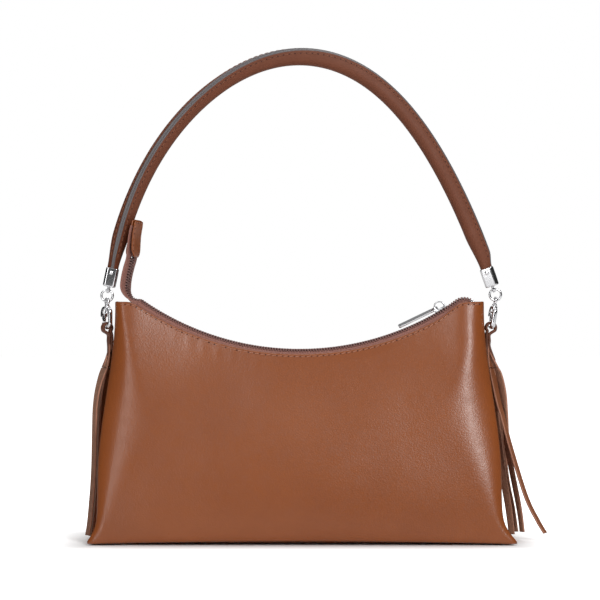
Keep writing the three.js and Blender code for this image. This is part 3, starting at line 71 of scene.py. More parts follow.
# Sizes of the zip
ZIP_RADIUS, ZIP_CENTRE = 182.6, 307.2
ZIP_LEFT_END, ZIP_RIGHT_BEND, ZIP_BEND_RADIUS, ZIP_BEND_TURN = 105, 104, 8, radians(66)
TAPE, TAPE_SHOWN, TAPE_TUCK = 0.7, 1.9, 8.4
TOOTH_PITCH, TOOTH_LENGTH, TOOTH_HEIGHT = 1.8, 0.8, 2.0
CHAIN_HALF_WIDTH, CORD_RADIUS = 2.9, 0.72
SLIDER_PLACE, SLIDER_LENGTH, SLIDER_PLATE, SLIDER_HALF_GAP = 94, 8.5, 0.9, 1.3
ROWS_PART_BY, CLEARANCE = 1.9, 0.3
BRIDGE_HEIGHT, BRIDGE_REACH, BRIDGE_WIRE = 5, 3.7, 0.9
PULL_REACH, PULL_LENGTH, PULL_WIDTH, PULL_PLATE = 29, 28.6, 4.6, 1.1
PULL_LIFT, PULL_ROLL = radians(3), radians(20)
TAIL_ROUTE = [(-104.7, 157.4), (-110.2, 158.4), (-113.6, 163.4), (-113.6, 171), (-110.8, 183), (-102.9, 210)]
TAIL_HALF_WIDTH, TAIL_TWIST, TAIL_TWIST_LENGTH = 9, radians(18), 16
TAIL_START, TAIL_DRIFT, TAIL_ROOT = 0.3, 3.6, 9
TAB_LENGTH, TAB_WIDTH, TAB_LEATHER, TAB_TURN = 24, 16, 0.9, radians(16)
TAB_SPLAY, TAB_SPLAY_HEIGHT = {1: 2.3, -1: 1.5}, 15

# Sizes of the strap and its fittings
STRAP_APEX, STRAP_END_HEIGHT, STRAP_HALF_SPAN, STRAP_RISE, STRAP_LEAN = 318.7, 178.9, 137.8, 253, 3
STRAP_DEPTH, STRAP_WIDTH = 12, 11
EDGE_REACH, EDGE_HALF_WIDTH, SEAM_PLACE = 5.6, 1.5, 4.3
CORE_RADIUS, CORE_SHIFT = 2.5, -1.2
CAP_LENGTH, CAP_DEPTH, CAP_WIDTH, CAP_WALL, CAP_FLOOR = 12.5, 8.4, 8.1, 0.7, 1.4
LUG_DROP, LUG_RADIUS, LUG_HOLE = 2.2, 2, 1.15
RING_RADIUS, RING_WIRE = 3.75, 0.72
EYE_RADIUS, EYE_WIRE = 2.05, 0.55
HOOK_BOTTOM, HOOK_RADIUS, HOOK_HALF_WIDTH, HOOK_WIRE, CLASP_THICKNESS = 138.4, 3.85, 4.2, 2.3, 3.2
CLASP_TURN = {-1: radians(34), 1: radians(9)}
CLASP_LEAN = {-1: 0.0, 1: radians(9)}
LEVER_PIVOT = 9.6

# Sizes of the loops and tassels
LOOP_LEATHER, LOOP_WIDTH_FOOT, LOOP_WIDTH_TOP, LOOP_SEAT, LOOP_CLEARANCE = 1.3, 7, 3.6, 0.45, 0.95
LOOP_WRAP, PINCH_HEIGHT, PINCH_FOOT, PINCH_SHIFT, PINCH_GAP = radians(42), 135.2, 127, 2, 0.6
TAB_FOOT, TAB_SEAT_TOP, LOOP_SHOWN = 112, 119, 1.6
TAB_OUTER_FOOT, TAB_OUTER_REACH = {-1: 121.7, 1: 118}, {-1: 126.5, 1: 128.5}
HEAD_FOOT, HEAD_WIDTH, HEAD_MIDDLE = 113.4, 9, 121.5
FRINGE_STRIP, FRINGE_LEATHER, FRINGE_FAN_SHARE, FRINGE_HALF_FAN = 4.8, 1.3, 0.35, 9
LEAF_TOP, LEAF_TOP_WIDTH, LEAF_WIDTH = 129, 5, 7.2
FRINGE_HINGE, FRINGE_BEND = (127.5, 130), 16

RIGHT, BACK, UP = Vector((1, 0, 0)), Vector((0, 1, 0)), Vector((0, 0, 1))
SIDES = {"left": -1, "right": 1}
FACES = {"front": -1, "back": 1}


# Small tools for shapes

def lerp(a, b, t):
    return a + (b - a) * t


def clamp(x, low=0, high=1):
    return min(max(x, low), high)


def ease(x, low, high):
    t = clamp((x - low) / (high - low))
    return t * t * (3 - 2 * t)


def bell(x, middle, reach):
    """A smooth hump that is 1 at its middle."""
    return exp(-((x - middle) / reach) ** 2)


def spread(a, b, count):
    return [a + (b - a) * i / count for i in range(count + 1)]


def circle(radius, sides, x=0, y=0):
    return [(x + radius * cos(a), y + radius * sin(a)) for a in spread(0, 2 * pi, sides)[:-1]]


def direction(line, i):
    """Direction of a line of points at its point i."""
    return (Vector(line[min(i + 1, len(line) - 1)]) - Vector(line[max(i - 1, 0)])).normalized()


def distances(line):
    """Distance of each point from the start, along the line."""
    out = [0.0]
    for a, b in zip(line, line[1:]):
        out.append(out[-1] + (Vector(b) - Vector(a)).length)
    return out


def smooth_line(points, steps):
    """A rounded line through the given points."""
    out = []
    for i in range(len(points) - 1):
        near = [points[clamp(i + d, 0, len(points) - 1)] for d in (-1, 0, 1, 2)]
        for k in range(steps):
            t = k / steps
            out.append(tuple(0.5 * (2 * b + (c - a) * t + (2 * a - 5 * b + 4 * c - d) * t * t
                                    + (3 * b - a - 3 * c + d) * t ** 3)
                             for a, b, c, d in zip(*near)))
    return out + [tuple(points[-1])]


def normal_of(surface, u, v, towards, step=1e-3):
    """Unit normal of a surface, on the side that looks towards a direction."""
    across = surface(u + step, v) - surface(u - step, v)
    along = surface(u, v + step) - surface(u, v - step)
    normal = across.cross(along).normalized()
    return normal if normal.dot(towards) >= 0 else -normal


def basis(x, y, z, origin):
    matrix = Matrix((x, y, z)).transposed().to_4x4()
    matrix.translation = origin
    return matrix


def shift(x, y, z):
    return Matrix.Translation((x, y, z))


class Form:
    """Points in millimetres, faces, each point's place on its cloth, and a finish for each face."""

    def __init__(self):
        self.points, self.faces, self.cloth, self.finishes = [], [], [], []

    def add(self, points, faces, finish=0, cloth=None):
        start = len(self.points)
        self.points += [Vector(p) for p in points]
        self.cloth += cloth or [(0.0, 0.0)] * len(points)
        self.faces += [[start + i for i in face] for face in faces]
        self.finishes += finish if isinstance(finish, list) else [finish] * len(faces)
        return self

    def join(self, other):
        return self.add(other.points, other.faces, other.finishes, other.cloth)

    def placed(self, matrix):
        self.points = [matrix @ p for p in self.points]
        return self


def loft(rings, finish=0, finish_of=None, cloth=None, round_trip=False):
    """A skin over closed rings of points; finish_of gives a finish for each step round the ring."""
    count = len(rings[0])
    faces, finishes = [], []
    for i in range(len(rings) if round_trip else len(rings) - 1):
        a, b = i * count, (i + 1) % len(rings) * count
        for k in range(count):
            n = (k + 1) % count
            faces.append([a + k, a + n, b + n, b + k])
            finishes.append(finish_of(k) if finish_of else finish)
    if not round_trip:
        last = (len(rings) - 1) * count
        faces += [list(range(count)), [last + k for k in range(count)]]
        finishes += [finish, finish]
    return Form().add([p for ring in rings for p in ring], faces, finishes, cloth)


def sheet(surface, us, vs, inward, rim=0.45):
    """A leather sheet with softened edges, thickened from its outer surface to the inward side."""
    wide, tall = len(us), len(vs)
    outer, inner, marks = [], [], []
    for j, v in enumerate(vs):
        for i, u in enumerate(us):
            point, normal = surface(u, v), normal_of(surface, u, v, inward)
            softening = rim if i in (0, wide - 1) or j in (0, tall - 1) else 0
            outer.append(point + normal * softening)
            inner.append(point + normal * (LEATHER - softening))
            marks.append((u, v))
    size = wide * tall
    faces = []
    for j in range(tall - 1):
        for i in range(wide - 1):
            a = j * wide + i
            ring = [a, a + 1, a + wide + 1, a + wide]
            faces += [ring, [size + k for k in reversed(ring)]]
    border = list(range(wide)) + [j * wide + wide - 1 for j in range(1, tall)]
    border += [(tall - 1) * wide + i for i in range(wide - 2, -1, -1)]
    border += [j * wide for j in range(tall - 2, 0, -1)]
    faces += [[b, a, size + a, size + b] for a, b in zip(border, border[1:] + border[:1])]
    return Form().add(outer + inner, faces, cloth=marks + marks)


def rounded_rectangle(width, height, rounding, steps=5):
    points = []
    for cx, cy, start in ((1, 1, 0), (-1, 1, 90), (-1, -1, 180), (1, -1, 270)):
        for k in range(steps + 1):
            a = radians(start + 90 * k / steps)
            points.append((cx * (width / 2 - rounding) + rounding * cos(a),
                           cy * (height / 2 - rounding) + rounding * sin(a)))
    return points


def tube(path, radii, sides, flatten=1.0, side_axis=BACK):
    """A rounded bar along a path; radii gives its half width at each point."""
    rings = []
    for i, point in enumerate(path):
        along = direction(path, i)
        other = along.cross(side_axis).normalized()
        wide = other.cross(along).normalized()
        rings.append([point + wide * (x * flatten) + other * y for x, y in circle(radii[i], sides)])
    return loft(rings)


def turned(profile, sides=24):
    """A lathe-turned piece about Z from (radius, height) pairs."""
    return loft([[Vector((x, y, z)) for x, y in circle(radius, sides)] for radius, z in profile])


def ring_of_wire(radius, wire, axis, sides, section, tall=1.0):
    """A closed ring of wire about an axis through the origin."""
    turn = UP.rotation_difference(axis).to_matrix()
    rings = []
    for x, y in circle(1, sides):
        out = Vector((x, y, 0))
        rings.append([turn @ (out * (radius + a) + UP * (b * tall)) for a, b in circle(wire, section)])
    return loft(rings, round_trip=True)


def form_of(bm):
    """The form of a finished bmesh, which is then freed."""
    bm.verts.index_update()
    form = Form().add([v.co.copy() for v in bm.verts], [[v.index for v in f.verts] for f in bm.faces])
    bm.free()
    return form


def plate(loops, thickness, bevel):
    """A flat plate with rounded edges from an outline and its holes, drawn in X and Y."""
    bm = bmesh.new()
    edges = []
    for loop in loops:
        corners = [bm.verts.new((x, y, -thickness / 2)) for x, y in loop]
        edges += [bm.edges.new((a, b)) for a, b in zip(corners, corners[1:] + corners[:1])]
    bmesh.ops.triangle_fill(bm, use_beauty=True, edges=edges)
    top = bmesh.ops.extrude_face_region(bm, geom=bm.faces[:])["geom"]
    raised = [g for g in top if isinstance(g, bmesh.types.BMVert)]
    bmesh.ops.translate(bm, vec=(0, 0, thickness), verts=raised)
    bmesh.ops.recalc_face_normals(bm, faces=bm.faces[:])
    rims = [e for e in bm.edges if len(e.link_faces) == 2 and e.calc_face_angle() > radians(60)
            and abs(e.verts[0].co.z - e.verts[1].co.z) < 1e-6]
    bmesh.ops.bevel(bm, geom=rims, offset=bevel, segments=3, profile=0.5, affect="EDGES", clamp_overlap=True)
    return form_of(bm)


def soft_block(size, bevel, segments=2):
    """A block with rounded edges, centred on the origin."""
    bm = bmesh.new()
    bmesh.ops.create_cube(bm, size=1.0)
    bmesh.ops.scale(bm, vec=size, verts=bm.verts)
    bmesh.ops.bevel(bm, geom=bm.edges[:], offset=bevel, segments=segments, profile=0.5, affect="EDGES")
    return form_of(bm)


def add_piece(name, form, finishes, body, node=None, crisp=False, bend=None):
    """Makes a form's object, in metres, that stands for a solid and moves with a body.

    With bend, it is not attached to any body: its place is only baked into its points, and the body and
    the two points that bend holds are not used.
    """
    mesh = bpy.data.meshes.new(name)
    mesh.from_pydata([p * MM for p in form.points], [], form.faces)
    for finish in finishes:
        mesh.materials.append(finish)
    mesh.polygons.foreach_set("material_index", form.finishes)
    mesh.polygons.foreach_set("use_smooth", [True] * len(form.faces))
    layer = mesh.uv_layers.new(name="cloth")
    for loop in mesh.loops:
        layer.data[loop.index].uv = form.cloth[loop.vertex_index]
    bm = bmesh.new()
    bm.from_mesh(mesh)
    bmesh.ops.recalc_face_normals(bm, faces=bm.faces[:])
    bm.to_mesh(mesh)
    bm.free()
    piece = bpy.data.objects.new(name, mesh)
    bpy.context.scene.collection.objects.link(piece)
    if crisp:
        piece.modifiers.new("even flats", "WEIGHTED_NORMAL").keep_sharp = True
    if bend:
        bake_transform(piece)
    else:
        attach(piece, body)
    if node:
        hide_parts(node)


# Finishes

def add_node(tree, kind, settings=None, **values):
    made = tree.nodes.new(kind)
    for key, value in (settings or {}).items():
        setattr(made, key, value)
    for key, value in values.items():
        socket = made.inputs[int(key[1:])] if key[0] == "_" else made.inputs[key.replace("_", " ")]
        if isinstance(value, bpy.types.NodeSocket):
            tree.links.new(value, socket)
        else:
            socket.default_value = value
    return made


def new_group(name, inputs, outputs):
    """A shader node group with named inputs, each with a starting value, and named outputs."""
    tree = bpy.data.node_groups.new(name, "ShaderNodeTree")
    for label, value in inputs.items():
        kind = "NodeSocketColor" if isinstance(value, tuple) else "NodeSocketFloat"
        tree.interface.new_socket(label, in_out="INPUT", socket_type=kind).default_value = value
    for label, kind in outputs.items():
        tree.interface.new_socket(label, in_out="OUTPUT", socket_type="NodeSocket" + kind)
    return tree, tree.nodes.new("NodeGroupInput").outputs, tree.nodes.new("NodeGroupOutput").inputs


def calc(tree, operation, a, b=0.0, c=0.0):
    return add_node(tree, "ShaderNodeMath", {"operation": operation}, _0=a, _1=b, _2=c).outputs[0]


def mix_colour(tree, factor, a, b):
    return add_node(tree, "ShaderNodeMix", {"data_type": "RGBA"}, _0=factor, _6=a, _7=b).outputs[2]


def remap(tree, value, low, high, to_low=0.0, to_high=1.0):
    return add_node(tree, "ShaderNodeMapRange", Value=value, From_Min=low, From_Max=high,
                    To_Min=to_low, To_Max=to_high).outputs[0]


def own_place(tree):
    """The place of a point on its own piece."""
    return add_node(tree, "ShaderNodeTexCoord").outputs["Object"]


def split(tree, vector):
    return add_node(tree, "ShaderNodeSeparateXYZ", Vector=vector).outputs


def speckle(tree, place, **values):
    return add_node(tree, "ShaderNodeTexNoise", Vector=place, **values).outputs[0]


def make_grain_group():
    """Hide: slow changes of tone, fine pores and creases, as a colour, a roughness and a height."""
    tree, given, out = new_group(
        "hide grain",
        {"Colour": (1, 1, 1, 1), "Deep Colour": (0.5, 0.5, 0.5, 1), "Pore Scale": 1100.0,
         "Mottle": 0.5, "Gloss Roughness": 0.42},
        {"Colour": "Color", "Roughness": "Float", "Height": "Float"})
    place = own_place(tree)
    broad = speckle(tree, place, Scale=17.0, Detail=4.0, Roughness=0.55)
    fine = speckle(tree, place, Scale=160.0, Detail=5.0, Roughness=0.65)
    hairs = speckle(tree, place, Scale=2600.0, Detail=3.0)
    pores = add_node(tree, "ShaderNodeTexVoronoi", {"feature": "SMOOTH_F1"},
                     Vector=place, Scale=given["Pore Scale"])
    tone = calc(tree, "MULTIPLY_ADD", broad, 0.65, calc(tree, "MULTIPLY", fine, 0.35))
    amount = calc(tree, "MULTIPLY", remap(tree, tone, 0.36, 0.64), given["Mottle"])
    tree.links.new(mix_colour(tree, amount, given["Colour"], given["Deep Colour"]), out["Colour"])
    pore = remap(tree, pores.outputs["Distance"], 0.0, 0.8)
    uneven = calc(tree, "SUBTRACT", fine, 0.5)
    rough = calc(tree, "MULTIPLY_ADD", uneven, 0.16, given["Gloss Roughness"])
    tree.links.new(calc(tree, "MULTIPLY_ADD", pore, 0.05, rough), out["Roughness"])
    height = calc(tree, "MULTIPLY_ADD", hairs, 0.3, pore)
    tree.links.new(calc(tree, "MULTIPLY_ADD", fine, 1.2, height), out["Height"])
    return tree


def make_weave_group():
    """Woven cloth laid along its own piece: ribs across and threads along, as a colour and a height."""
    tree, given, out = new_group(
        "weave",
        {"Colour": (1, 1, 1, 1), "Shade Colour": (0.5, 0.5, 0.5, 1), "Ribs": 9000.0, "Threads": 9000.0},
        {"Colour": "Color", "Height": "Float"})
    laid = split(tree, add_node(tree, "ShaderNodeUVMap", {"uv_map": "cloth"}).outputs[0])
    along = calc(tree, "SINE", calc(tree, "MULTIPLY", laid["X"], given["Ribs"]))
    across = calc(tree, "SINE", calc(tree, "MULTIPLY", laid["Y"], given["Threads"]))
    woven = calc(tree, "MULTIPLY", along, across)
    fuzz = speckle(tree, own_place(tree), Scale=900.0, Detail=4.0)
    height = calc(tree, "MULTIPLY_ADD", fuzz, 0.8, calc(tree, "MULTIPLY_ADD", woven, 0.5, 0.5))
    tree.links.new(height, out["Height"])
    lit = remap(tree, height, 0.2, 1.5)
    tree.links.new(mix_colour(tree, lit, given["Shade Colour"], given["Colour"]), out["Colour"])
    return tree


def make_wear_group():
    """Handled metal: faint smears and hairline scratches, as a roughness and a height."""
    tree, given, out = new_group("handling wear", {"Roughness": 0.1, "Smear": 0.08},
                                 {"Roughness": "Float", "Height": "Float"})
    place = own_place(tree)
    smears = calc(tree, "SUBTRACT", speckle(tree, place, Scale=420.0, Detail=4.0), 0.45)
    drawn = add_node(tree, "ShaderNodeVectorMath", {"operation": "MULTIPLY"}, _0=place, _1=(900, 900, 9000))
    rough = calc(tree, "MULTIPLY_ADD", smears, given["Smear"], given["Roughness"])
    tree.links.new(calc(tree, "MAXIMUM", rough, 0.03), out["Roughness"])
    tree.links.new(speckle(tree, drawn.outputs[0], Scale=1.0, Detail=2.0), out["Height"])
    return tree


GRAIN, WEAVE, WEAR = make_grain_group(), make_weave_group(), make_wear_group()


def finish_from(name, group, values, bump, **shader):
    """A material whose look over the surface comes from a group and whose constants stay on the shader."""
    material = bpy.data.materials.new(name)
    material.use_nodes = True
    tree = material.node_tree
    principled = tree.nodes["Principled BSDF"]
    effect = add_node(tree, "ShaderNodeGroup", {"node_tree": group})
    for label, value in values.items():
        effect.inputs[label].default_value = value
    for label, socket in (("Colour", "Base Color"), ("Roughness", "Roughness")):
        if label in effect.outputs:
            tree.links.new(effect.outputs[label], principled.inputs[socket])
    strength, distance = bump
    relief = add_node(tree, "ShaderNodeBump", Strength=strength, Distance=distance,
                      Height=effect.outputs["Height"])
    tree.links.new(relief.outputs[0], principled.inputs["Normal"])
    for label, value in shader.items():
        principled.inputs[label.replace("_", " ")].default_value = value
    return material


def rgb(*screen):
    """A screen colour as the linear colour that a shader takes."""
    shares = [c / 255 for c in screen]
    return (*[c / 12.92 if c <= 0.04045 else ((c + 0.055) / 1.055) ** 2.4 for c in shares], 1.0)


def hide(name, colour, deep, mottle=0.5, gloss=0.42, pores=1100.0, bump=(0.25, 0.0002), **shader):
    values = {"Colour": rgb(*colour), "Deep Colour": rgb(*deep), "Pore Scale": pores, "Mottle": mottle,
              "Gloss Roughness": gloss}
    return finish_from(name, GRAIN, values, bump, **shader)


def cloth(name, colour, shade, ribs, threads, roughness):
    values = {"Colour": rgb(*colour), "Shade Colour": rgb(*shade), "Ribs": ribs, "Threads": threads}
    return finish_from(name, WEAVE, values, (0.5, 0.0002), Roughness=roughness)


def metal(name, colour, roughness, metallic):
    values = {"Roughness": roughness, "Smear": 0.08}
    return finish_from(name, WEAR, values, (0.04, 0.00005), Base_Color=rgb(*colour), Metallic=metallic)


BODY_HIDE = hide("brown hide", (140, 75, 34), (123, 63, 28), gloss=0.29)
STRAP_HIDE = hide("strap hide", (110, 60, 38), (94, 50, 31), gloss=0.55, Specular_IOR_Level=0.3)
EDGE_PAINT = hide("painted edge", (100, 95, 96), (80, 75, 77), gloss=0.4, pores=700.0)
FRINGE_HIDE = hide("fringe hide", (138, 82, 50), (116, 66, 40), gloss=0.5)
FLESH_SIDE = hide("flesh side", (150, 108, 86), (112, 76, 58), mottle=0.8, gloss=0.85, pores=620.0,
                  bump=(0.7, 0.0005))
# Loop leather darker than the fringe hide: painted shade for the loops, which hang in shade; their cut edges
# are darkened the same way.
SHADED_LOOP_HIDE = hide("loop hide painted shade", (112, 64, 40), (88, 48, 30), gloss=0.5)
SHADED_LOOP_EDGE = hide("loop edge painted shade", (100, 56, 36), (76, 42, 27), gloss=0.7)
CUT_EDGE = hide("cut edge", (176, 124, 100), (150, 98, 76), mottle=0.7, gloss=0.75, pores=900.0,
                bump=(0.5, 0.0003))
LINING_CLOTH = cloth("lining cloth", (82, 60, 48), (56, 40, 32), 900.0, 900.0, 0.9)
BOARD_FACE = hide("pressed board", (104, 90, 74), (84, 72, 58), gloss=0.9, pores=500.0)
CORE_CORD = cloth("core cord", (120, 104, 86), (84, 72, 58), 300.0, 300.0, 0.9)
TAPE_CLOTH = cloth("zip tape", (162, 112, 100), (120, 78, 68), 6.5, 9.0, 0.85)
# Cord much darker than the tape: partly the cord's own colour, partly painted shade for the gaps between the
# teeth.
SHADED_TAPE_CORD = cloth("zip cord with painted gap shade", (60, 34, 30), (40, 22, 20), 4.5, 5.0, 0.8)
TEETH_METAL = metal("dark teeth", (124, 88, 82), 0.42, 0.1)
NICKEL = metal("polished nickel", (226, 226, 228), 0.1, 1.0)
STRAP_THREAD = cloth("strap thread", (134, 84, 60), (104, 62, 44), 9.0, 6.0, 0.8)
THREAD_TAN = cloth("waxed thread", (178, 120, 92), (128, 80, 60), 9.0, 6.0, 0.6)
# Dark brown for the needle holes: painted shade inside the holes.
STITCH_HOLE_SHADE = hide("stitch hole shade", (72, 34, 24), (52, 24, 18), gloss=0.8)


def add_fitting(name, form, body, node, crisp=False, bend=None):
    """A piece of polished metal."""
    add_piece(name, form, [NICKEL], body, node, crisp, bend)


# Leather body

def side_of(u):
    return 1 if u > 0 else -1


def ear_flare(z, side):
    """Reach of the pointed lower corners, blunted at the tip."""
    z = max(z, 0)
    return EAR_REACH[side] * exp(-(z / EAR_HEIGHT[side]) ** 1.5) - EAR_BLUNTING * max(1 - z / 3, 0) ** 2


def seam_half_width(z):
    return BASE_HALF_WIDTH - (BASE_HALF_WIDTH - TOP_HALF_WIDTH) * ease(z, NARROWING_FROM, NARROWING_TO)


def top_edge(x):
    """Height of the leather edge under the zip, with a rise where the zip dives in at the right."""
    arc = ZIP_CENTRE - sqrt((ZIP_RADIUS + TAPE_SHOWN) ** 2 - x * x)
    arc += RIGHT_RISE * bell(x, RIGHT_RISE_PLACE, RIGHT_RISE_SPREAD)
    return -CORNER_SOFTNESS * log(exp(-arc / CORNER_SOFTNESS) + exp(-CORNER_HEIGHT / CORNER_SOFTNESS))


def panel_height(u):
    return top_edge(clamp(u, -1, 1) * TOP_HALF_WIDTH)


def seam_half_depth(v):
    return SEAM_DEPTH_TOP + (SEAM_DEPTH_BASE - SEAM_DEPTH_TOP) * max(1 - max(v, 0) ** 1.5, 0) ** 1.6


def panel_point(u, v, facing):
    """The plain panel: u runs from -1 to 1 between its side seams, v from 0 at the base to 1 at the top."""
    share, side = min(abs(u), 1.02), side_of(u)
    low = BOTTOM_LIFT + BOTTOM_ARCH * (1 - share * share)
    height = lerp(low, panel_height(u), v)
    roll = lerp(EDGE_ROLL_BASE, EDGE_ROLL_TOP, ease(v, 0, 0.5))
    flat = seam_half_width(height) - roll
    depth = MOUTH_HALF_DEPTH + (BASE_HALF_DEPTH - MOUTH_HALF_DEPTH) * (1 - max(v, 0) ** 1.6)
    if share <= FLAT_SHARE:
        return Vector((u / FLAT_SHARE * flat, facing * depth, height))
    turn = (share - FLAT_SHARE) / (1 - FLAT_SHARE) * EDGE_ROLL_TURN
    back = (1 - cos(turn)) / (1 - cos(EDGE_ROLL_TURN))
    x = flat + roll * sin(turn) / sin(EDGE_ROLL_TURN) + ear_flare(height, side) * back
    return Vector((side * x, facing * lerp(depth, seam_half_depth(v), back), height))


def soft_panel_point(u, v, facing):
    """The panel with rolled sides, belly, slow waves, puckers under the stitching and a turned foot."""
    point = panel_point(u, v, facing)
    share, side = min(abs(u), 1), side_of(u)
    edge, front = abs(panel_point(side, v, facing).x), abs(panel_point(0, v, facing).y)
    roll = lerp(SIDE_ROLL_BASE, SIDE_ROLL, ease(v, 0.05, 0.6))
    roll = lerp(roll, SIDE_ROLL_TOP[side], ease(v, *SIDE_ROLL_FALL[side]))
    turning = clamp(1 - (edge - abs(point.x)) / roll)
    point.y = facing * lerp(seam_half_depth(v), front, sqrt(1 - turning ** 2))

    belly = BELLY * (1 - share ** 2) ** 2 * sin(pi * clamp(v) ** 0.8)
    wave = noise.noise(Vector((point.x * 0.011, point.z * 0.015, 3.1 * facing)))
    wave += 0.5 * noise.noise(Vector((point.x * 0.03, point.z * 0.02, 8.7 * facing)))
    wave += bell(abs(point.x), 50, 22) * bell(point.z, 95, 32)
    fade = (1 - share ** 8) * ease(v, 0, 0.1) * ease(1 - v, 0, 0.06)
    fade *= 1 - ease(v, 0.6, 0.85) * ease(share, 0.5, 0.8)
    below = (1 - v) * (panel_height(u) - 2)
    drift = noise.noise(Vector((point.x * 0.06, 1.7, 0)))
    pucker = bell(below, 6, 5) * sin(point.x * 0.72 + 1.6 * drift)
    pucker *= bell(point.x, -52, 30) + 0.6 * bell(point.x, 66, 26)
    tuck = max(1 - (point.z - BOTTOM_LIFT) / TUCK_HEIGHT, 0) ** 2 * (1 - share ** 6)
    point.y += facing * (belly + WAVE_HEIGHT * wave * fade + PUCKER_HEIGHT * pucker - TUCK_DEPTH * tuck)
    return point


def gusset_point(w, v, side, inset=0.0):
    """The plain side panel: w runs from -1 to 1 between its seams, from the front to the back."""
    height = lerp(BOTTOM_LIFT, top_edge(TOP_HALF_WIDTH), v)
    dip = GUSSET_DIP * sin(pi * clamp(v)) * (1 - w * w)
    x = seam_half_width(height) + ear_flare(height, side) * w * w - dip - inset
    return Vector((side * x, w * (seam_half_depth(v) - SEAM_STEP), height))


def soft_gusset_point(w, v, side):
    """The side panel folded softly inwards along its middle."""
    point = gusset_point(w, v, side, GUSSET_RECESS)
    fade = sin(pi * clamp(v)) * (1 - w * w)
    ripple = noise.noise(Vector((point.y * 0.05, point.z * 0.02, 5.0 + side)))
    point.x -= side * fade * (1.2 * bell(w, 0, 0.22) + 0.8 * (ripple + 0.4))
    return point


def make_body():
    roll = spread(FLAT_SHARE, 1, 12)[1:]
    half = spread(0, FLAT_SHARE, 34) + roll[:-1] + [0.9965, 1]
    us = [-u for u in reversed(half[1:])] + half
    vs = [0, 0.004, 0.012, 0.022] + spread(0.035, 0.9, 44) + spread(0.91, 0.99, 12) + [0.996, 1]
    for word, facing in FACES.items():
        form = sheet(lambda u, v: soft_panel_point(u, v, facing), us, vs, BACK * -facing)
        add_piece(f"{word}_leather", form, [BODY_HIDE], "bag", f"{word}_panel")
    ws = [-1, -0.985] + spread(-0.96, 0.96, 24) + [0.985, 1]
    for word, side in SIDES.items():
        form = sheet(lambda w, v: soft_gusset_point(w, v, side), ws, vs, RIGHT * -side)
        add_piece(f"{word}_side_leather", form, [BODY_HIDE], "bag", f"{word}_gusset")


def make_base():
    recess = GUSSET_RECESS + LEATHER + CLEARANCE
    middle = BASE_HALF_WIDTH - recess
    half_depth = BASE_HALF_DEPTH - LEATHER - CLEARANCE

    def underside(s, t):
        corner = BASE_HALF_WIDTH + EAR_REACH[side_of(s)] - EAR_BLUNTING - recess - LEATHER
        x = s * lerp(middle, corner, t * t)
        at_corner = ease(abs(x), BASE_HALF_WIDTH - EDGE_ROLL_BASE, corner)
        y = t * lerp(half_depth, SEAM_DEPTH_BASE - LEATHER, at_corner)
        lift = (BOTTOM_LIFT + BOTTOM_ARCH * (1 - s * s)) * ease(abs(t), 0.7, 1)
        return Vector((x, y, 0.05 + lift))

    form = sheet(underside, [-1, -0.996] + spread(-0.97, 0.97, 40) + [0.996, 1],
                 [-1, -0.985] + spread(-0.95, 0.95, 14) + [0.985, 1], UP)
    add_piece("base_leather", form, [BODY_HIDE], "bag", "base_panel")


def make_lining():
    """An open pouch of cloth that follows the leather, with soft vertical folds."""
    def ring(v, inset, lift=None):
        points = []
        for facing in (-1, 1):
            for u in spread(facing * FLAT_SHARE, -facing * FLAT_SHARE, 40):
                p = panel_point(u, v, facing)
                fold = 0.5 * sin(p.x * 0.21 + facing) * v
                p.y -= facing * (inset + 0.5 + fold)
                p.x *= 1 - inset / BASE_HALF_WIDTH
                points.append(p)
            for w in spread(-0.5, 0.5, 4):
                points.append(gusset_point(-w * facing, v, -facing, inset))
        if lift is not None:
            for p in points:
                p.z = lift
        return points

    heights, inner = spread(0.1, 0.905, 14), LINING_INSET + LINING_THICKNESS
    rings = [ring(0.04, LINING_INSET, LINING_FLOOR)] + [ring(v, LINING_INSET) for v in heights]
    rings += [ring(v, inner) for v in reversed(heights)]
    rings.append(ring(0.04, inner, LINING_FLOOR + LINING_THICKNESS))
    marks = [(k * 0.4, i * 0.4) for i in range(len(rings)) for k in range(len(rings[0]))]
    add_piece("lining_pouch", loft(rings, cloth=marks), [LINING_CLOTH], "bag", "lining")


# Stitching

# Profile of the small disc that paints the shade in a needle hole.
NEEDLE_HOLE_SHADE = [(0.05, 0.1), (0.34, 0.085), (0.52, 0.0), (0.34, -0.1), (0.05, -0.12)]


def add_stitches(name, line, normals, body, slant, finish=THREAD_TAN):
    """Slanted stitches along a line of surface points, and small dark discs between them that paint the
    shade in the needle holes.
    """
    thread, holes = Form(), Form()
    lengths = distances(line)
    count = int(lengths[-1] / STITCH_PITCH)
    start = (lengths[-1] - count * STITCH_PITCH) / 2
    lean = radians(slant)
    k = 0
    for i in range(count):
        want = start + (i + 0.5) * STITCH_PITCH
        while lengths[k + 1] < want:
            k += 1
        t = (want - lengths[k]) / (lengths[k + 1] - lengths[k])
        centre = line[k].lerp(line[k + 1], t)
        normal = normals[k].lerp(normals[k + 1], t).normalized()
        along = (line[k + 1] - line[k]).normalized()
        side = normal.cross(along).normalized()
        run = along * cos(lean) + side * sin(lean)
        path, radii = [], []
        for share in (-0.5, -0.42, -0.25, 0, 0.25, 0.42, 0.5):
            rise = STITCH_LIFT * (1 - (2 * share) ** 2) - 0.03
            path.append(centre + run * (share * STITCH_LENGTH) + normal * rise)
            radii.append(THREAD * (0.55 if abs(share) == 0.5 else 1))
        thread.join(tube(path, radii, 7, side_axis=normal))
        spot = centre + along * (STITCH_PITCH / 2) - normal * 0.02
        holes.join(turned(NEEDLE_HOLE_SHADE, 9).placed(basis(along, side, normal, spot)))
    add_piece(f"{name}_thread", thread, [finish], body)
    add_piece(f"{name}_holes", holes, [STITCH_HOLE_SHADE], body)


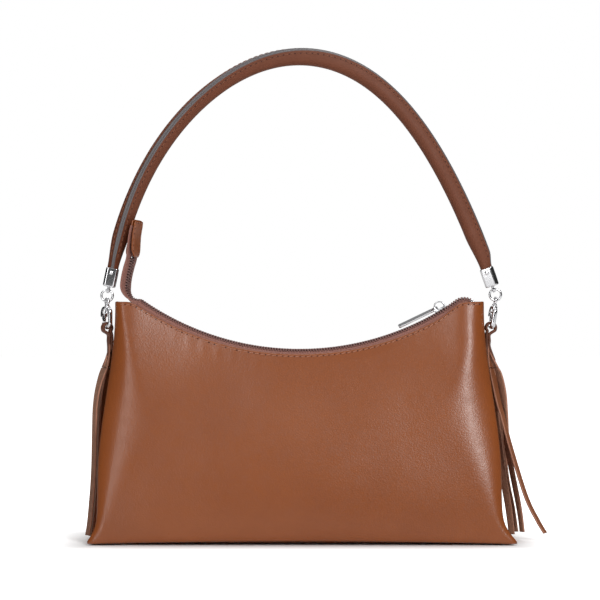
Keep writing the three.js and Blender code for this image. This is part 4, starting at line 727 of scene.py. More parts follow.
def make_top_stitching():
    for word, facing in FACES.items():
        def surface(u, v):
            return soft_panel_point(u, v, facing)

        line, normals = [], []
        for u in spread(-0.955, 0.955, 300):
            v = 1 - TOP_STITCH_DROP / panel_height(u)
            line.append(surface(u, v))
            normals.append(normal_of(surface, u, v, BACK * facing))
        add_stitches(f"{word}_top", line, normals, "bag", -14 * facing)


# Zip

LEFT_END_TURN = asin(ZIP_LEFT_END / ZIP_RADIUS)
BEND_START_TURN = asin(ZIP_RIGHT_BEND / ZIP_RADIUS)
SLIDER_TURN = asin(SLIDER_PLACE / ZIP_RADIUS)
CHAIN_START, BEND_START = -LEFT_END_TURN * ZIP_RADIUS, BEND_START_TURN * ZIP_RADIUS
CHAIN_END = BEND_START + ZIP_BEND_TURN * ZIP_BEND_RADIUS
POST_PLACE = SLIDER_TURN * ZIP_RADIUS + SLIDER_LENGTH / 2 - 2
TAPE_EDGE = CHAIN_HALF_WIDTH + CLEARANCE + TAPE / 2
TAPE_SHOULDER = MOUTH_HALF_DEPTH - LEATHER - TAPE


def zip_frame(s):
    """Point, along, up and side on the chain, s being the distance from its lowest point."""
    turn = min(s, BEND_START) / ZIP_RADIUS
    point = Vector((sin(turn) * ZIP_RADIUS, 0, ZIP_CENTRE - cos(turn) * ZIP_RADIUS))
    along = Vector((cos(turn), 0, sin(turn)))
    up = Vector((-along.z, 0, along.x))
    if s > BEND_START:
        heading = turn - (s - BEND_START) / ZIP_BEND_RADIUS
        point -= up * ZIP_BEND_RADIUS
        along = Vector((cos(heading), 0, sin(heading)))
        up = Vector((-along.z, 0, along.x))
        point += up * ZIP_BEND_RADIUS
    return point, along, up, BACK.copy()


def twisted(up, twist):
    """Up and side of a frame that is turned about its own run."""
    return up * cos(twist) - BACK * sin(twist), BACK * cos(twist) + up * sin(twist)


def rows_part(s):
    return ROWS_PART_BY * ease(s, POST_PLACE - SLIDER_LENGTH / 2, POST_PLACE - 1)


def tooth_growth(s):
    """The teeth stand a little taller where the chain turns down at the right."""
    return 1 + 0.25 * ease(s, BEND_START - 8, BEND_START)


def tooth_form():
    """One tooth: a clamp round the cord with a rounded head; X along, Y to the middle, Z up."""
    head = soft_block((TOOTH_LENGTH, 2.6, TOOTH_HEIGHT * 0.85), 0.28).placed(shift(0, 0.55, 0.15))
    for p in head.points:
        pinch = 1 - 0.2 * ease(p.y, 0.4, 1.2) * (1 - ease(p.y, 1.2, 1.8))
        p.z *= pinch
        p.x *= pinch
    clip = soft_block((TOOTH_LENGTH * 1.25, 3.1, TOOTH_HEIGHT * 1.18), 0.32)
    return head.join(clip.placed(shift(0, -1.75, 0.03)))


def teeth(frame_at, first, last, facing, part_at, tall_at):
    """Teeth of one row; facing is -1 for the front row, whose heads point to the back."""
    form, tooth = Form(), tooth_form()
    s = first + (0 if facing < 0 else TOOTH_PITCH / 2) + TOOTH_PITCH / 4
    while s + TOOTH_LENGTH / 2 < last:
        point, along, up, side = frame_at(s)
        root = point + side * (facing * (CHAIN_HALF_WIDTH - 1.9 + part_at(s)))
        matrix = basis(along * -facing, side * -facing, up * tall_at(s), root)
        form.add([matrix @ p for p in tooth.points], tooth.faces)
        s += TOOTH_PITCH
    return form


def bead(frame_at, first, last, facing, part_at):
    """The corded edge of the tape that the teeth clamp."""
    path = []
    for s in spread(first, last, ceil((last - first) / 1.6)):
        point, _, _, side = frame_at(s)
        path.append(point + side * (facing * (CHAIN_HALF_WIDTH - 0.55 + part_at(s))))
    cord = tube(path, [CORD_RADIUS] * len(path), 10)
    # The cord takes the dark cord finish, whose darkness is partly painted shade between the teeth.
    cord.finishes = [1] * len(cord.faces)
    return cord


def strip(frame_at, stations, section_at):
    """A woven strip: section_at gives its middle line as (side, up) pairs at each station."""
    rings, marks = [], []
    for s in stations:
        point, _, up, side = frame_at(s)
        line = [Vector(pair) for pair in section_at(s)]
        runs = [direction(line, i) for i in range(len(line))]
        offsets = [Vector((-run.y, run.x)) * (TAPE / 2) for run in runs]
        outline = [p + o for p, o in zip(line, offsets)]
        outline += [p - o for p, o in zip(reversed(line), reversed(offsets))]
        rings.append([point + side * p.x + up * p.y for p in outline])
        reach = distances(line)
        marks += [(s, r) for r in reach + reach[::-1]]
    return loft(rings, cloth=marks)


def make_zip():
    stations = spread(CHAIN_START, BEND_START, 130) + spread(BEND_START, CHAIN_END, 10)[1:]
    for word, facing in FACES.items():
        def section(s):
            slope = radians(15) * (1 - ease(abs(s), BEND_START / 2, BEND_START))
            ripple, part = 0.12 * sin(s * 0.9) * facing, rows_part(s)
            corners = [(TAPE_EDGE + part - 0.5, -0.3), (TAPE_EDGE + 0.3 + part * 0.9, -1.4),
                       (TAPE_EDGE + 1.3 + part * 0.6, -1.7 + ripple), (TAPE_SHOULDER, -TAPE_SHOWN - 0.3),
                       (TAPE_SHOULDER + sin(slope) * TAPE_TUCK, -TAPE_SHOWN - cos(slope) * TAPE_TUCK)]
            return [(facing * a, b) for a, b in smooth_line(corners, 4)]

        tape = strip(zip_frame, stations, section)
        tape.join(bead(zip_frame, CHAIN_START, CHAIN_END, facing, rows_part))
        add_piece(f"woven_tape_{word}", tape, [TAPE_CLOTH, SHADED_TAPE_CORD], "bag", f"zip_tape_{word}")
        row = teeth(zip_frame, CHAIN_START, CHAIN_END, facing, rows_part, tooth_growth)
        add_piece(f"teeth_{word}", row, [TEETH_METAL], "bag", f"zip_teeth_{word}")
        point, along, up, side = zip_frame(CHAIN_END + 1.8)
        seat = point + side * (facing * (CHAIN_HALF_WIDTH - 0.85 + ROWS_PART_BY))
        stop = soft_block((3, 1.7, 3), 0.5, 3).placed(basis(along, side, up, seat))
        add_fitting(f"end_stop_{word}", stop, "bag", f"zip_stop_{word}", crisp=True)


def make_slider():
    point, along, up, side = zip_frame(SLIDER_TURN * ZIP_RADIUS)
    set_on_chain = basis(along, side, up, point)
    half, top = SLIDER_LENGTH / 2, SLIDER_HALF_GAP
    flank = [(-half, 3.2), (-half + 0.6, 3.9), (-1, 4.0), (1, 4.3), (half - 1.2, 5.3), (half - 0.3, 5.4),
             (half, 4.9)]
    wedge = [(-half + 0.6, -3.9), (-half, -3.2)] + flank + [(x, -y) for x, y in reversed(flank[2:])]
    form = plate([wedge], SLIDER_PLATE, 0.3).placed(shift(0, 0, top + SLIDER_PLATE / 2))
    under = plate([rounded_rectangle(7.5, 6.6, 1)], SLIDER_PLATE, 0.3)
    form.join(under.placed(shift(0, 0, -top - SLIDER_PLATE / 2)))
    form.join(soft_block((2, 1.4, 3.2), 0.3).placed(shift(half - 2, 0, 0)))

    bow = BRIDGE_REACH - BRIDGE_WIRE / 2
    spring = top + SLIDER_PLATE + BRIDGE_HEIGHT - BRIDGE_REACH
    turns = spread(0, pi, 22)
    arch = [Vector((bow * cos(a), 0, spring + bow * sin(a))) for a in turns]
    arch = [Vector((bow, 0, top + 0.5))] + arch + [Vector((-bow, 0, top + 0.5))]
    widths = [1.25] + [lerp(1.25, 0.95, sin(a)) for a in turns] + [1.25]
    wire = [(2 * x, y) for x, y in rounded_rectangle(1, BRIDGE_WIRE, 0.28, 3)]
    rings = []
    for i, p in enumerate(arch):
        run = direction(arch, i)
        out = Vector((run.z, 0, -run.x))
        rings.append([p + BACK * (a * widths[i]) + out * b for a, b in wire])
    form.join(loft(rings))
    add_fitting("slider_body", form.placed(set_on_chain), "zip_slider", "zip_slider", crisp=True)

    bar_half = hypot(PULL_PLATE, 1.3) / 2
    axis_height = top + SLIDER_PLATE + CLEARANCE + bar_half
    axis_place = BRIDGE_WIRE - BRIDGE_REACH + CLEARANCE + bar_half
    chain_top = (PULL_REACH - axis_place) ** 2 / (2 * ZIP_RADIUS) + 1
    tilt = asin((chain_top + CLEARANCE + 0.65 - axis_height) / PULL_REACH)
    outline = rounded_rectangle(PULL_LENGTH, PULL_WIDTH, 1.1)
    slot = [(x + PULL_LENGTH / 2 - 3.05, y) for x, y in rounded_rectangle(3.9, 2.6, 0.6)]
    bar = plate([outline, slot], PULL_PLATE, 0.3).placed(shift((PULL_PLATE - PULL_REACH) / 2, 0, 0))
    laid = Matrix.Rotation(tilt + PULL_LIFT, 4, "Y") @ Matrix.Rotation(PULL_ROLL, 4, "X")
    bar.placed(set_on_chain @ shift(axis_place, 0, axis_height) @ laid)
    add_fitting("pull_bar", bar, "zip_pull", "zip_pull", crisp=True)


def tail_path():
    """The run of the free tail: a frame at each distance from its root, and its length."""
    points = []
    for x, z in smooth_line(TAIL_ROUTE, 24):
        drift = TAIL_DRIFT * ease(z, 178, 205)
        points.append(Vector((x - drift, -drift, z)))
    lengths = distances(points)

    def frame_at(s):
        s = clamp(s, 0, lengths[-1])
        k = next((i for i in range(len(lengths) - 2) if lengths[i + 1] >= s), len(lengths) - 2)
        point = points[k].lerp(points[k + 1], (s - lengths[k]) / (lengths[k + 1] - lengths[k]))
        along = (points[max(k - 1, 0)] - points[min(k + 2, len(points) - 1)]).normalized()
        up = Vector((-along.z, 0, along.x))
        return point, along, *twisted(up, TAIL_TWIST * ease(s, 0, TAIL_TWIST_LENGTH))

    return frame_at, lengths[-1]


def make_tail():
    frame_at, length = tail_path()
    tab_start = length - TAB_LENGTH
    stations = spread(TAIL_START, tab_start + 20, 60)
    root = "bag", frame_at(0)[0], frame_at(TAIL_ROOT)[0]
    chain = TAIL_START, tab_start - TAIL_START
    for word, facing in FACES.items():
        def section(s):
            outer = lerp(TAPE_SHOULDER, TAIL_HALF_WIDTH, ease(s, 2, TAIL_TWIST_LENGTH))
            inner = lerp(TAPE_EDGE - 0.5, -0.2, ease(s, tab_start - 1, tab_start + 0.5))
            curl = -0.9 * ease(s, 4, TAIL_TWIST_LENGTH) * (1 - ease(s, tab_start - 8, tab_start))
            curl -= 4.5 * (1 - ease(s, 0, 8))
            return [(facing * lerp(inner, outer, t), curl * t * t) for t in spread(0, 1, 6)]

        tape = strip(frame_at, stations, section).join(bead(frame_at, *chain, facing, lambda s: 0))
        add_piece(f"tail_tape_{word}", tape, [TAPE_CLOTH, SHADED_TAPE_CORD], "zip_tail",
                  f"zip_tail_tape_{word}", bend=root)
        row = teeth(frame_at, *chain, facing, lambda s: 0, lambda s: 1)
        add_piece(f"tail_teeth_{word}", row, [TEETH_METAL], "zip_tail",
                  f"zip_tail_teeth_{word}", bend=root)
    make_end_tab(frame_at, tab_start, length)


def rounding(distance, radius):
    """How far a rounded corner stands in from the straight edge, at a distance from the end."""
    return radius - sqrt(max(radius ** 2 - (radius - min(distance, radius)) ** 2, 0))


def make_end_tab(frame_at, tab_start, length):
    """A folded leather tab: two leaves with rounded feet, spread a little at the bottom."""
    foot, top = frame_at(tab_start), frame_at(length)
    along = (top[0] - foot[0]).normalized()
    side = (Matrix.Rotation(TAIL_TWIST - TAB_TURN, 3, along) @ foot[3]).normalized()
    local = basis(side.cross(along).normalized(), side, along, foot[0])
    half_leather = TAB_LEATHER / 2
    fold = TAPE / 2 + 0.1 + half_leather
    bend = [(fold * cos(a), TAB_LENGTH - fold + fold * sin(a)) for a in spread(0, pi, 10)]
    rise = [(1.0, 0.0), (0.6, 4), (0.25, 9), (0.0, TAB_SPLAY_HEIGHT)]
    leaf, other = ([(fold + TAB_SPLAY[face] * share, z) for share, z in rise] for face in (1, -1))
    line = smooth_line(leaf + bend + [(-x, z) for x, z in reversed(other)], 3)
    reach = distances(line)
    total = reach[-1]
    rings = []
    for i, (x, z) in enumerate(line):
        run = direction(line, i)
        inset = rounding(min(reach[i], total - reach[i]), 7) + rounding(abs(reach[i] - total / 2), 4.5)
        half = max(TAB_WIDTH / 2 - inset, 2.5)
        ring = rounded_rectangle(2 * half, TAB_LEATHER, half_leather * 0.7, 3)
        rings.append([Vector((x - run.y * n, y, z + run.x * n)) for y, n in ring])
    form = loft(rings).placed(local)
    add_piece("end_tab_leather", form, [BODY_HIDE], "zip_tail", "zip_end_tab")
    seam = [(5.4, 2.2), (6.1, 4.5), (6.3, 10), (6.3, 20.5), (5, 22.5)]
    seam += [(-y, z) for y, z in reversed(seam)]
    for word, face in (("right", 1), ("left", -1)):
        path = []
        for y, z in smooth_line(seam, 8):
            lean = TAB_SPLAY[face] * max(1 - z / TAB_SPLAY_HEIGHT, 0) ** 1.6
            path.append(local @ Vector((face * (fold + half_leather + lean), y, z)))
        normal = (local.to_3x3() @ Vector((face, 0, 0))).normalized()
        add_stitches(f"tab_{word}", path, [normal] * len(path), "zip_tail", 8)


# Shoulder strap

STRAP_CENTRE = STRAP_APEX - STRAP_RISE
STRAP_TURN = acos((STRAP_END_HEIGHT - STRAP_CENTRE) / STRAP_RISE)
STRAP_TAPER, SEAM_TAPER = 26 / STRAP_RISE, 11 / STRAP_RISE
CAP_FIT = ((CAP_DEPTH - CAP_WALL) / STRAP_DEPTH, (CAP_WIDTH - CAP_WALL) / STRAP_WIDTH)


def strap_point(turn):
    z = STRAP_CENTRE + STRAP_RISE * cos(turn)
    lean = STRAP_LEAN * sin(pi * (z - STRAP_END_HEIGHT) / (STRAP_APEX - STRAP_END_HEIGHT))
    return Vector((STRAP_HALF_SPAN * sin(turn) - max(lean, 0), 0, z))


def strap_frame(turn, step=1e-3):
    """Point, along, out to the seamed edge and across the strap."""
    near = clamp(turn, step - STRAP_TURN, STRAP_TURN - step)
    along = (strap_point(near + step) - strap_point(near - step)).normalized()
    outside = Vector((-along.z, 0, along.x))
    return strap_point(turn), along, *twisted(outside, strap_twist(turn))


def strap_twist(turn):
    """Turn of the seamed edge to the front: little at the right, square to the front at the left cap."""
    q = -turn / STRAP_TURN
    return radians(15 + 57 * ease(q, -0.45, 0.55) + 18 * ease(q, 0.7, 1.05))


def strap_flank(x):
    """Half width of the section between the painted edge and the round fold."""
    middle = STRAP_WIDTH / 2 - STRAP_DEPTH / 2
    narrowing = ((x - middle) / (EDGE_REACH - middle)) ** 1.6
    return EDGE_HALF_WIDTH + (STRAP_WIDTH / 2 - EDGE_HALF_WIDTH) * (1 - narrowing)


def strap_section():
    """Outline of the folded section, from the slit in its painted edge, and a finish for each step."""
    edge = [(EDGE_REACH, 0.0), (5.85, 0.25), (6.0, 0.7), (5.98, 1.05), (5.85, 1.3), (EDGE_REACH, 1.48)]
    flank = [(x, strap_flank(x)) for x in (5.2, 4.6, 4.0, 3.4, 2.6, 1.8, 1.0, 0.2)]
    radius = STRAP_WIDTH / 2
    fold = [(radius * cos(radians(a)) - STRAP_DEPTH / 2 + radius, radius * sin(radians(a)))
            for a in range(90, 180, 9)]
    half = edge + flank + fold
    outline = half + [(-STRAP_DEPTH / 2, 0.0)] + [(x, -y) for x, y in reversed(half[1:])]
    painted = len(edge) - 1
    return outline, lambda k: 1 if k < painted or k >= len(outline) - painted else 0


def strap_fit(turn):
    """How far the section has narrowed into the cap: on its seamed side, on its folded side and across."""
    seamed, folded = (ease(abs(turn), STRAP_TURN - taper, STRAP_TURN) for taper in (SEAM_TAPER, STRAP_TAPER))
    return lerp(1, CAP_FIT[0], seamed), lerp(1, CAP_FIT[0], folded), lerp(1, CAP_FIT[1], folded)


def strap_ring(turn, outline, reach=0.0):
    point, along, out, across = strap_frame(turn)
    seamed, folded, wide = strap_fit(turn)
    origin = point + along * reach
    return [origin + out * (x * (seamed if x > 0 else folded)) + across * (y * wide) for x, y in outline]


def make_strap():
    outline, finish_of = strap_section()
    full = STRAP_TURN - STRAP_TAPER
    turns = spread(-STRAP_TURN, -full, 16)[:-1] + spread(-full, full, 120) + spread(full, STRAP_TURN, 16)[1:]
    depth = CAP_LENGTH - CAP_FLOOR - CLEARANCE
    rings = [strap_ring(-STRAP_TURN, outline, -depth)] + [strap_ring(t, outline) for t in turns]
    rings.append(strap_ring(STRAP_TURN, outline, depth))
    add_piece("strap_hide", loft(rings, finish_of=finish_of), [STRAP_HIDE, EDGE_PAINT], "strap",
              "strap_leather")
    core = []
    for t in spread(-full, full, 90):
        point, _, out, across = strap_frame(t)
        core.append([point + out * x + across * y for x, y in circle(CORE_RADIUS, 14, CORE_SHIFT)])
    add_piece("strap_filler", loft(core), [CORE_CORD], "strap", "strap_core")
    seam_end = STRAP_TURN - SEAM_TAPER * 0.6
    for word, face in FACES.items():
        line, normals = [], []
        for t in spread(-seam_end, seam_end, 260):
            point, _, out, across = strap_frame(t)
            seamed, _, wide = strap_fit(t)
            beside = face * strap_flank(SEAM_PLACE) * wide
            line.append(point + out * (SEAM_PLACE * seamed) + across * beside)
            normals.append((across * face * 0.74 + out * 0.67).normalized())
        add_stitches(f"strap_{word}", line, normals, "strap", 6, STRAP_THREAD)


# Strap fittings

def cap_matrix(side):
    point, along, out, _ = strap_frame(side * STRAP_TURN)
    up = along * -side
    return basis(out, up.cross(out), up, point)


def ring_centre(side):
    return cap_matrix(side) @ Vector((0, 0, -CAP_LENGTH - LUG_DROP - RING_RADIUS))


def make_cap(word, side):
    """A cap with a lug under it, its rivet, and the ring that hangs in the lug."""
    matrix, foot = cap_matrix(side), -CAP_LENGTH
    outer = [(foot, -1.0), (foot + 0.12, -0.5), (foot + 0.45, -0.14), (foot + 1.0, 0.0), (foot / 2, 0.06),
             (-0.7, 0.0), (-0.25, -0.06), (0.0, -0.26)]
    inner = [(-0.05, -0.45), (-0.35, -0.62), (-2.0, -CAP_WALL), (foot + CAP_FLOOR, -CAP_WALL)]
    rings = []
    for z, grow in outer + inner:
        section = rounded_rectangle(CAP_DEPTH + 2 * grow, CAP_WIDTH + 2 * grow, 1.7 + grow * 0.6, 6)
        rings.append([Vector((x, y, z)) for x, y in section])
    form = loft(rings)
    lug = [(LUG_RADIUS * cos(a), LUG_RADIUS * sin(a)) for a in spread(pi, 2 * pi, 16)]
    lug += [(LUG_RADIUS, LUG_DROP + 0.7), (-LUG_RADIUS, LUG_DROP + 0.7)]
    stand = basis(BACK, UP, RIGHT, Vector((0, 0, foot - LUG_DROP)))
    spin = Matrix.Rotation(side * strap_twist(side * STRAP_TURN), 4, "Z")
    form.join(plate([lug, circle(LUG_HOLE, 20)], 1.8, 0.35).placed(spin @ stand))
    add_fitting(f"{word}_cap", form.placed(matrix), "strap", f"{word}_strap_cap", crisp=True)

    through = (CAP_DEPTH if side < 0 else CAP_WIDTH) / 2
    head = [(1.05, -0.1), (1.45, 0.05), (1.4, 0.35), (1.05, 0.62), (0.5, 0.76), (0.05, 0.8)]
    head = [(r, through + z) for r, z in head]
    profile = [(r, -z) for r, z in reversed(head)] + [(0.8, 0.4 - through), (0.8, through - 0.4)] + head
    lay = shift(0, 0, -3) @ Matrix.Rotation(pi / 2 if side < 0 else 0, 4, "Z")
    rivet = turned(profile, 20).placed(matrix @ lay @ Matrix.Rotation(-pi / 2, 4, "X"))
    add_fitting(f"{word}_rivet", rivet, "strap", f"{word}_cap_rivet")

    ring = ring_of_wire(RING_RADIUS, RING_WIRE, BACK, 48, 14).placed(shift(*ring_centre(side)))
    add_fitting(f"{word}_ring", ring, "strap", f"{word}_strap_ring")


def clasp_matrix(side):
    """Place of a clasp that hangs by its eye from the strap's ring; its origin is the hook's foot."""
    eye = ring_centre(side) - UP * RING_RADIUS
    hung = Matrix.Rotation(CLASP_LEAN[side], 4, "Y") @ Matrix.Rotation(CLASP_TURN[side], 4, "Z")
    return shift(*eye) @ hung @ shift(0, 0, HOOK_BOTTOM - eye.z)


# Outlines of the clasp's flat pieces and profiles of its turned ones, above the foot of the hook
CHEEK = [(2.0, 15.0), (0.6, 15.2), (0.2, 13.6), (2.4, 12.8), (2.95, 11.2), (2.9, 8.9), (3.4, 8.3),
         (4.6, 8.35), (5.2, 9.1), (5.2, 10.8), (4.9, 12.2), (4.1, 13.6), (3.0, 14.7)]
GATE = [(2.85, 5.3), (3.6, 5.25), (4.4, 5.3), (4.8, 5.7), (4.85, 6.4), (5.35, 6.9), (5.6, 7.5), (5.35, 8.1),
        (4.85, 8.5), (4.85, 9.7), (4.55, 10.3), (3.85, 10.58), (3.15, 10.3), (2.85, 9.7), (2.85, 7.5)]
LEAF_SPRING = [(2.0, 10.6), (2.3, 9.6), (2.42, 8), (2.42, 6.4)]
COLLAR = [(1.25, 13.2), (2.0, 13.4), (2.05, 15.0), (1.9, 15.5), (1.25, 15.6)]
PIN_HEAD = [(0.55, 1.4), (0.62, 1.5), (0.6, 1.68), (0.2, 1.75)]
STEM = [(0.3, 10.6), (1.5, 10.65), (1.7, 11.0), (1.6, 12.0), (0.95, 12.2), (0.95, 15.7), (1.5, 15.8),
        (1.7, 16.1)]


def closed(outline, steps):
    return smooth_line(outline + outline[:1], steps)[:-1]


def make_clasp(word, side):
    """A swivel lobster clasp, drawn with its hook open to +Y above the foot of the hook."""
    place, upright = clasp_matrix(side), basis(BACK, UP, RIGHT, Vector())
    wide, centre = HOOK_HALF_WIDTH, HOOK_RADIUS + HOOK_WIRE / 2
    bottom = spread(-0.12, -pi, 26)
    path = [(wide, centre - 0.1), (wide, centre - 0.25)]
    path += [(wide * cos(a), centre + HOOK_RADIUS * sin(a)) for a in bottom]
    path += [(-wide, z) for z in (6.2, 8, 9.8, 11.4)]
    path += [(-wide * cos(a), 11.6 + 2.6 * sin(a)) for a in spread(0.15, pi / 2 + 0.55, 12)]
    radii = [0.55, 0.92] + [1.05 + 0.3 * bell(a, -pi / 2 - 0.95, 0.42) for a in bottom]
    radii += [1.1] * (len(path) - len(radii) - 1) + [0.7]
    hook = tube([Vector((0, y, z)) for y, z in path], radii, 16, 1.4, RIGHT)
    for end in (-1, 1):
        hook.join(plate([closed(CHEEK, 4)], 0.8, 0.25).placed(shift(end * 1.6, 0, 0) @ upright))
    hook.join(turned(COLLAR))
    add_fitting(f"{word}_hook_body", hook.placed(place), f"{word}_hook", f"{word}_clasp_hook")

    pin = turned([(r, -z) for r, z in reversed(PIN_HEAD)] + PIN_HEAD, 16)
    pin.placed(place @ shift(0, HOOK_RADIUS, LEVER_PIVOT) @ Matrix.Rotation(pi / 2, 4, "Y"))
    add_fitting(f"{word}_pin", pin, f"{word}_hook", f"{word}_clasp_pin")

    lever = plate([closed(GATE, 3), circle(0.72, 14, HOOK_RADIUS, LEVER_PIVOT)], 1.4, 0.3)
    lever.placed(place @ upright)
    add_fitting(f"{word}_gate", lever, f"{word}_lever", f"{word}_clasp_lever", crisp=True)

    line = smooth_line(LEAF_SPRING, 4)
    section = rounded_rectangle(1.2, 0.25, 0.1, 2)
    leaf = loft([[Vector((a, y + b, z)) for a, b in section] for y, z in line]).placed(place)
    bend = f"{word}_hook", *(place @ Vector((0, *line[k])) for k in (0, -1))
    add_fitting(f"{word}_leaf", leaf, f"{word}_lever", f"{word}_clasp_spring", bend=bend)

    eye_height = ring_centre(side).z - RING_RADIUS - HOOK_BOTTOM
    eye = ring_of_wire(EYE_RADIUS, EYE_WIRE, RIGHT, 32, 12, 1.5).placed(shift(0, 0, eye_height))
    top = eye_height - 2.2
    neck = [(1.3, lerp(STEM[-1][1], top, 0.5) + 0.2), (1.0, top + 0.3), (0.7, top + 0.5)]
    eye.join(turned(STEM + neck)).placed(place)
    add_fitting(f"{word}_swivel_eye", eye, f"{word}_eye", f"{word}_clasp_eye")


# Loop tabs and tassels

def gusset_face(z):
    v = (z - BOTTOM_LIFT) / (top_edge(TOP_HALF_WIDTH) - BOTTOM_LIFT)
    return gusset_point(LOOP_WIDTH_FOOT / 2 / (seam_half_depth(v) - SEAM_STEP), v, 1, GUSSET_RECESS).x


def leather_strip_ring(point, run, across, width, thickness, cup=0.0):
    """The section of a cut strip; cup bends its edges to one side."""
    normal = run.cross(across).normalized()
    half, thin = width / 2, thickness / 2
    top = [(half - 0.1, thin - 0.12), (half - 0.35, thin), (half * 0.5, thin)]
    top = [(-a, b) for a, b in top] + [(0, thin)] + top[::-1]
    section = top + [(half, 0.0)] + [(a, -b) for a, b in reversed(top)] + [(-half, 0.0)]
    return [point + across * a + normal * (b + cup * (a / half) ** 2) for a, b in section]


def strip_finish(k):
    """Grain side, flesh side and cut edges of a strip's section."""
    if 0 < k < 6:
        return 0
    return 1 if 9 <= k <= 13 else 2


def pinch_place(foot):
    """Reach of the pinched legs, a little inside the hook's foot."""
    return abs(foot.x) - PINCH_SHIFT


def make_loop_tab(word, side):
    foot = clasp_matrix(side).translation
    pinch, pinch_half = pinch_place(foot), (LOOP_LEATHER + PINCH_GAP) / 2
    reach, centre = abs(foot.x), foot.z + HOOK_WIRE / 2
    radius = CLASP_THICKNESS / 2 + LOOP_CLEARANCE + LOOP_LEATHER / 2
    legs = spread(PINCH_FOOT, PINCH_HEIGHT, 2)
    corners = [(gusset_face(z) + LOOP_SEAT + LOOP_LEATHER / 2, z) for z in spread(TAB_FOOT, TAB_SEAT_TOP, 3)]
    corners += [(pinch - pinch_half, z) for z in legs]
    corners += [(reach + radius * cos(a), centre + radius * sin(a))
                for a in spread(pi + LOOP_WRAP, -LOOP_WRAP, 14)]
    corners += [(pinch + pinch_half, z) for z in reversed(legs)]
    corners.append((TAB_OUTER_REACH[side], TAB_OUTER_FOOT[side]))
    line = smooth_line(corners, 4)
    rings = []
    for i, (x, z) in enumerate(line):
        run = direction(line, i)
        rise = ease(z, TAB_SEAT_TOP, centre)
        width = lerp(LOOP_WIDTH_FOOT, LOOP_WIDTH_TOP, rise)
        point, run = Vector((x - reach, 0, z)), Vector((run.x, 0, run.y))
        ring = leather_strip_ring(point, run, BACK, width, LOOP_SHOWN)
        turn = Matrix.Rotation(CLASP_TURN[side] * rise, 4, "Z")
        rings.append([turn @ Vector((side * p.x, p.y, p.z)) + Vector((foot.x, 0, 0)) for p in ring])
    form = loft(rings, finish=2, finish_of=strip_finish)
    body, bend = "bag", None
    if side < 0:
        body, bend = "left_eye", ("bag", Vector((foot.x, 0, PINCH_FOOT)), Vector((foot.x, 0, foot.z)))
    # The loops' grain side and cut edges take the darker loop leather, which paints their shade.
    add_piece(f"{word}_loop_leather", form, [SHADED_LOOP_HIDE, FRINGE_HIDE, SHADED_LOOP_EDGE], body,
              f"{word}_loop_tab", bend=bend)


# Lines of the strips seen from the front, as (reach from the middle of the bag, height)
FRINGE = {
    "left": [
        [(128.2, 113), (130.2, 107.8), (132.6, 97.8), (133.9, 86.7), (134.3, 70), (135, 43), (137.2, 16),
         (139, 3.5)],
        [(127.8, 113), (130, 104), (131.6, 90), (132.4, 70), (133.2, 43), (135.6, 16), (137.4, 2.5)],
        [(126.2, 113), (128.4, 97), (130.4, 70), (132.2, 43), (134.5, 16), (136.2, 4.2)],
        [(127, 113), (130.6, 97), (132.9, 70), (134, 43), (136.3, 16), (138.2, 3)]],
    "right": [
        [(126.4, 113), (130.6, 91.3), (133.4, 80), (138, 62), (148.2, 29.3), (156.3, 12.8), (161, 5)],
        [(128.7, 113), (131.1, 108.5), (134, 97.3), (135.3, 84.7), (136.4, 64.3), (139, 48.4), (144.2, 21.4),
         (146.4, 5.4)],
        [(125.6, 113), (128, 97), (129.4, 84), (131.6, 64), (134.8, 39), (138, 21), (140.2, 3.2)],
        [(127.4, 113), (131, 97), (132.4, 84), (134.2, 64), (137, 39), (140.4, 21), (143, 4.5)]],
}
FRINGE_ACROSS = (-1, -0.35, 0.31, 0.95)
FRINGE_TURNS = {"left": (36, 30, -58, -50), "right": (32, -36, -60, -55)}


def fringe_strip(path, side, width_at, turn_at, cup):
    rings = []
    for k, p in enumerate(path):
        t = k / (len(path) - 1)
        across = Matrix.Rotation(side * turn_at(t), 3, "Z") @ BACK
        rings.append(leather_strip_ring(p, direction(path, k), across, width_at(t), FRINGE_LEATHER, cup))
    return loft(rings, finish=2, finish_of=strip_finish)


def head_width(t):
    return lerp(LEAF_TOP_WIDTH, LEAF_WIDTH, ease(t, 0, 0.8))


def strip_width(t):
    return lerp(LEAF_WIDTH, FRINGE_STRIP, ease(t, 0, 0.4)) * (1 - 0.1 * ease(t, 0.8, 1))


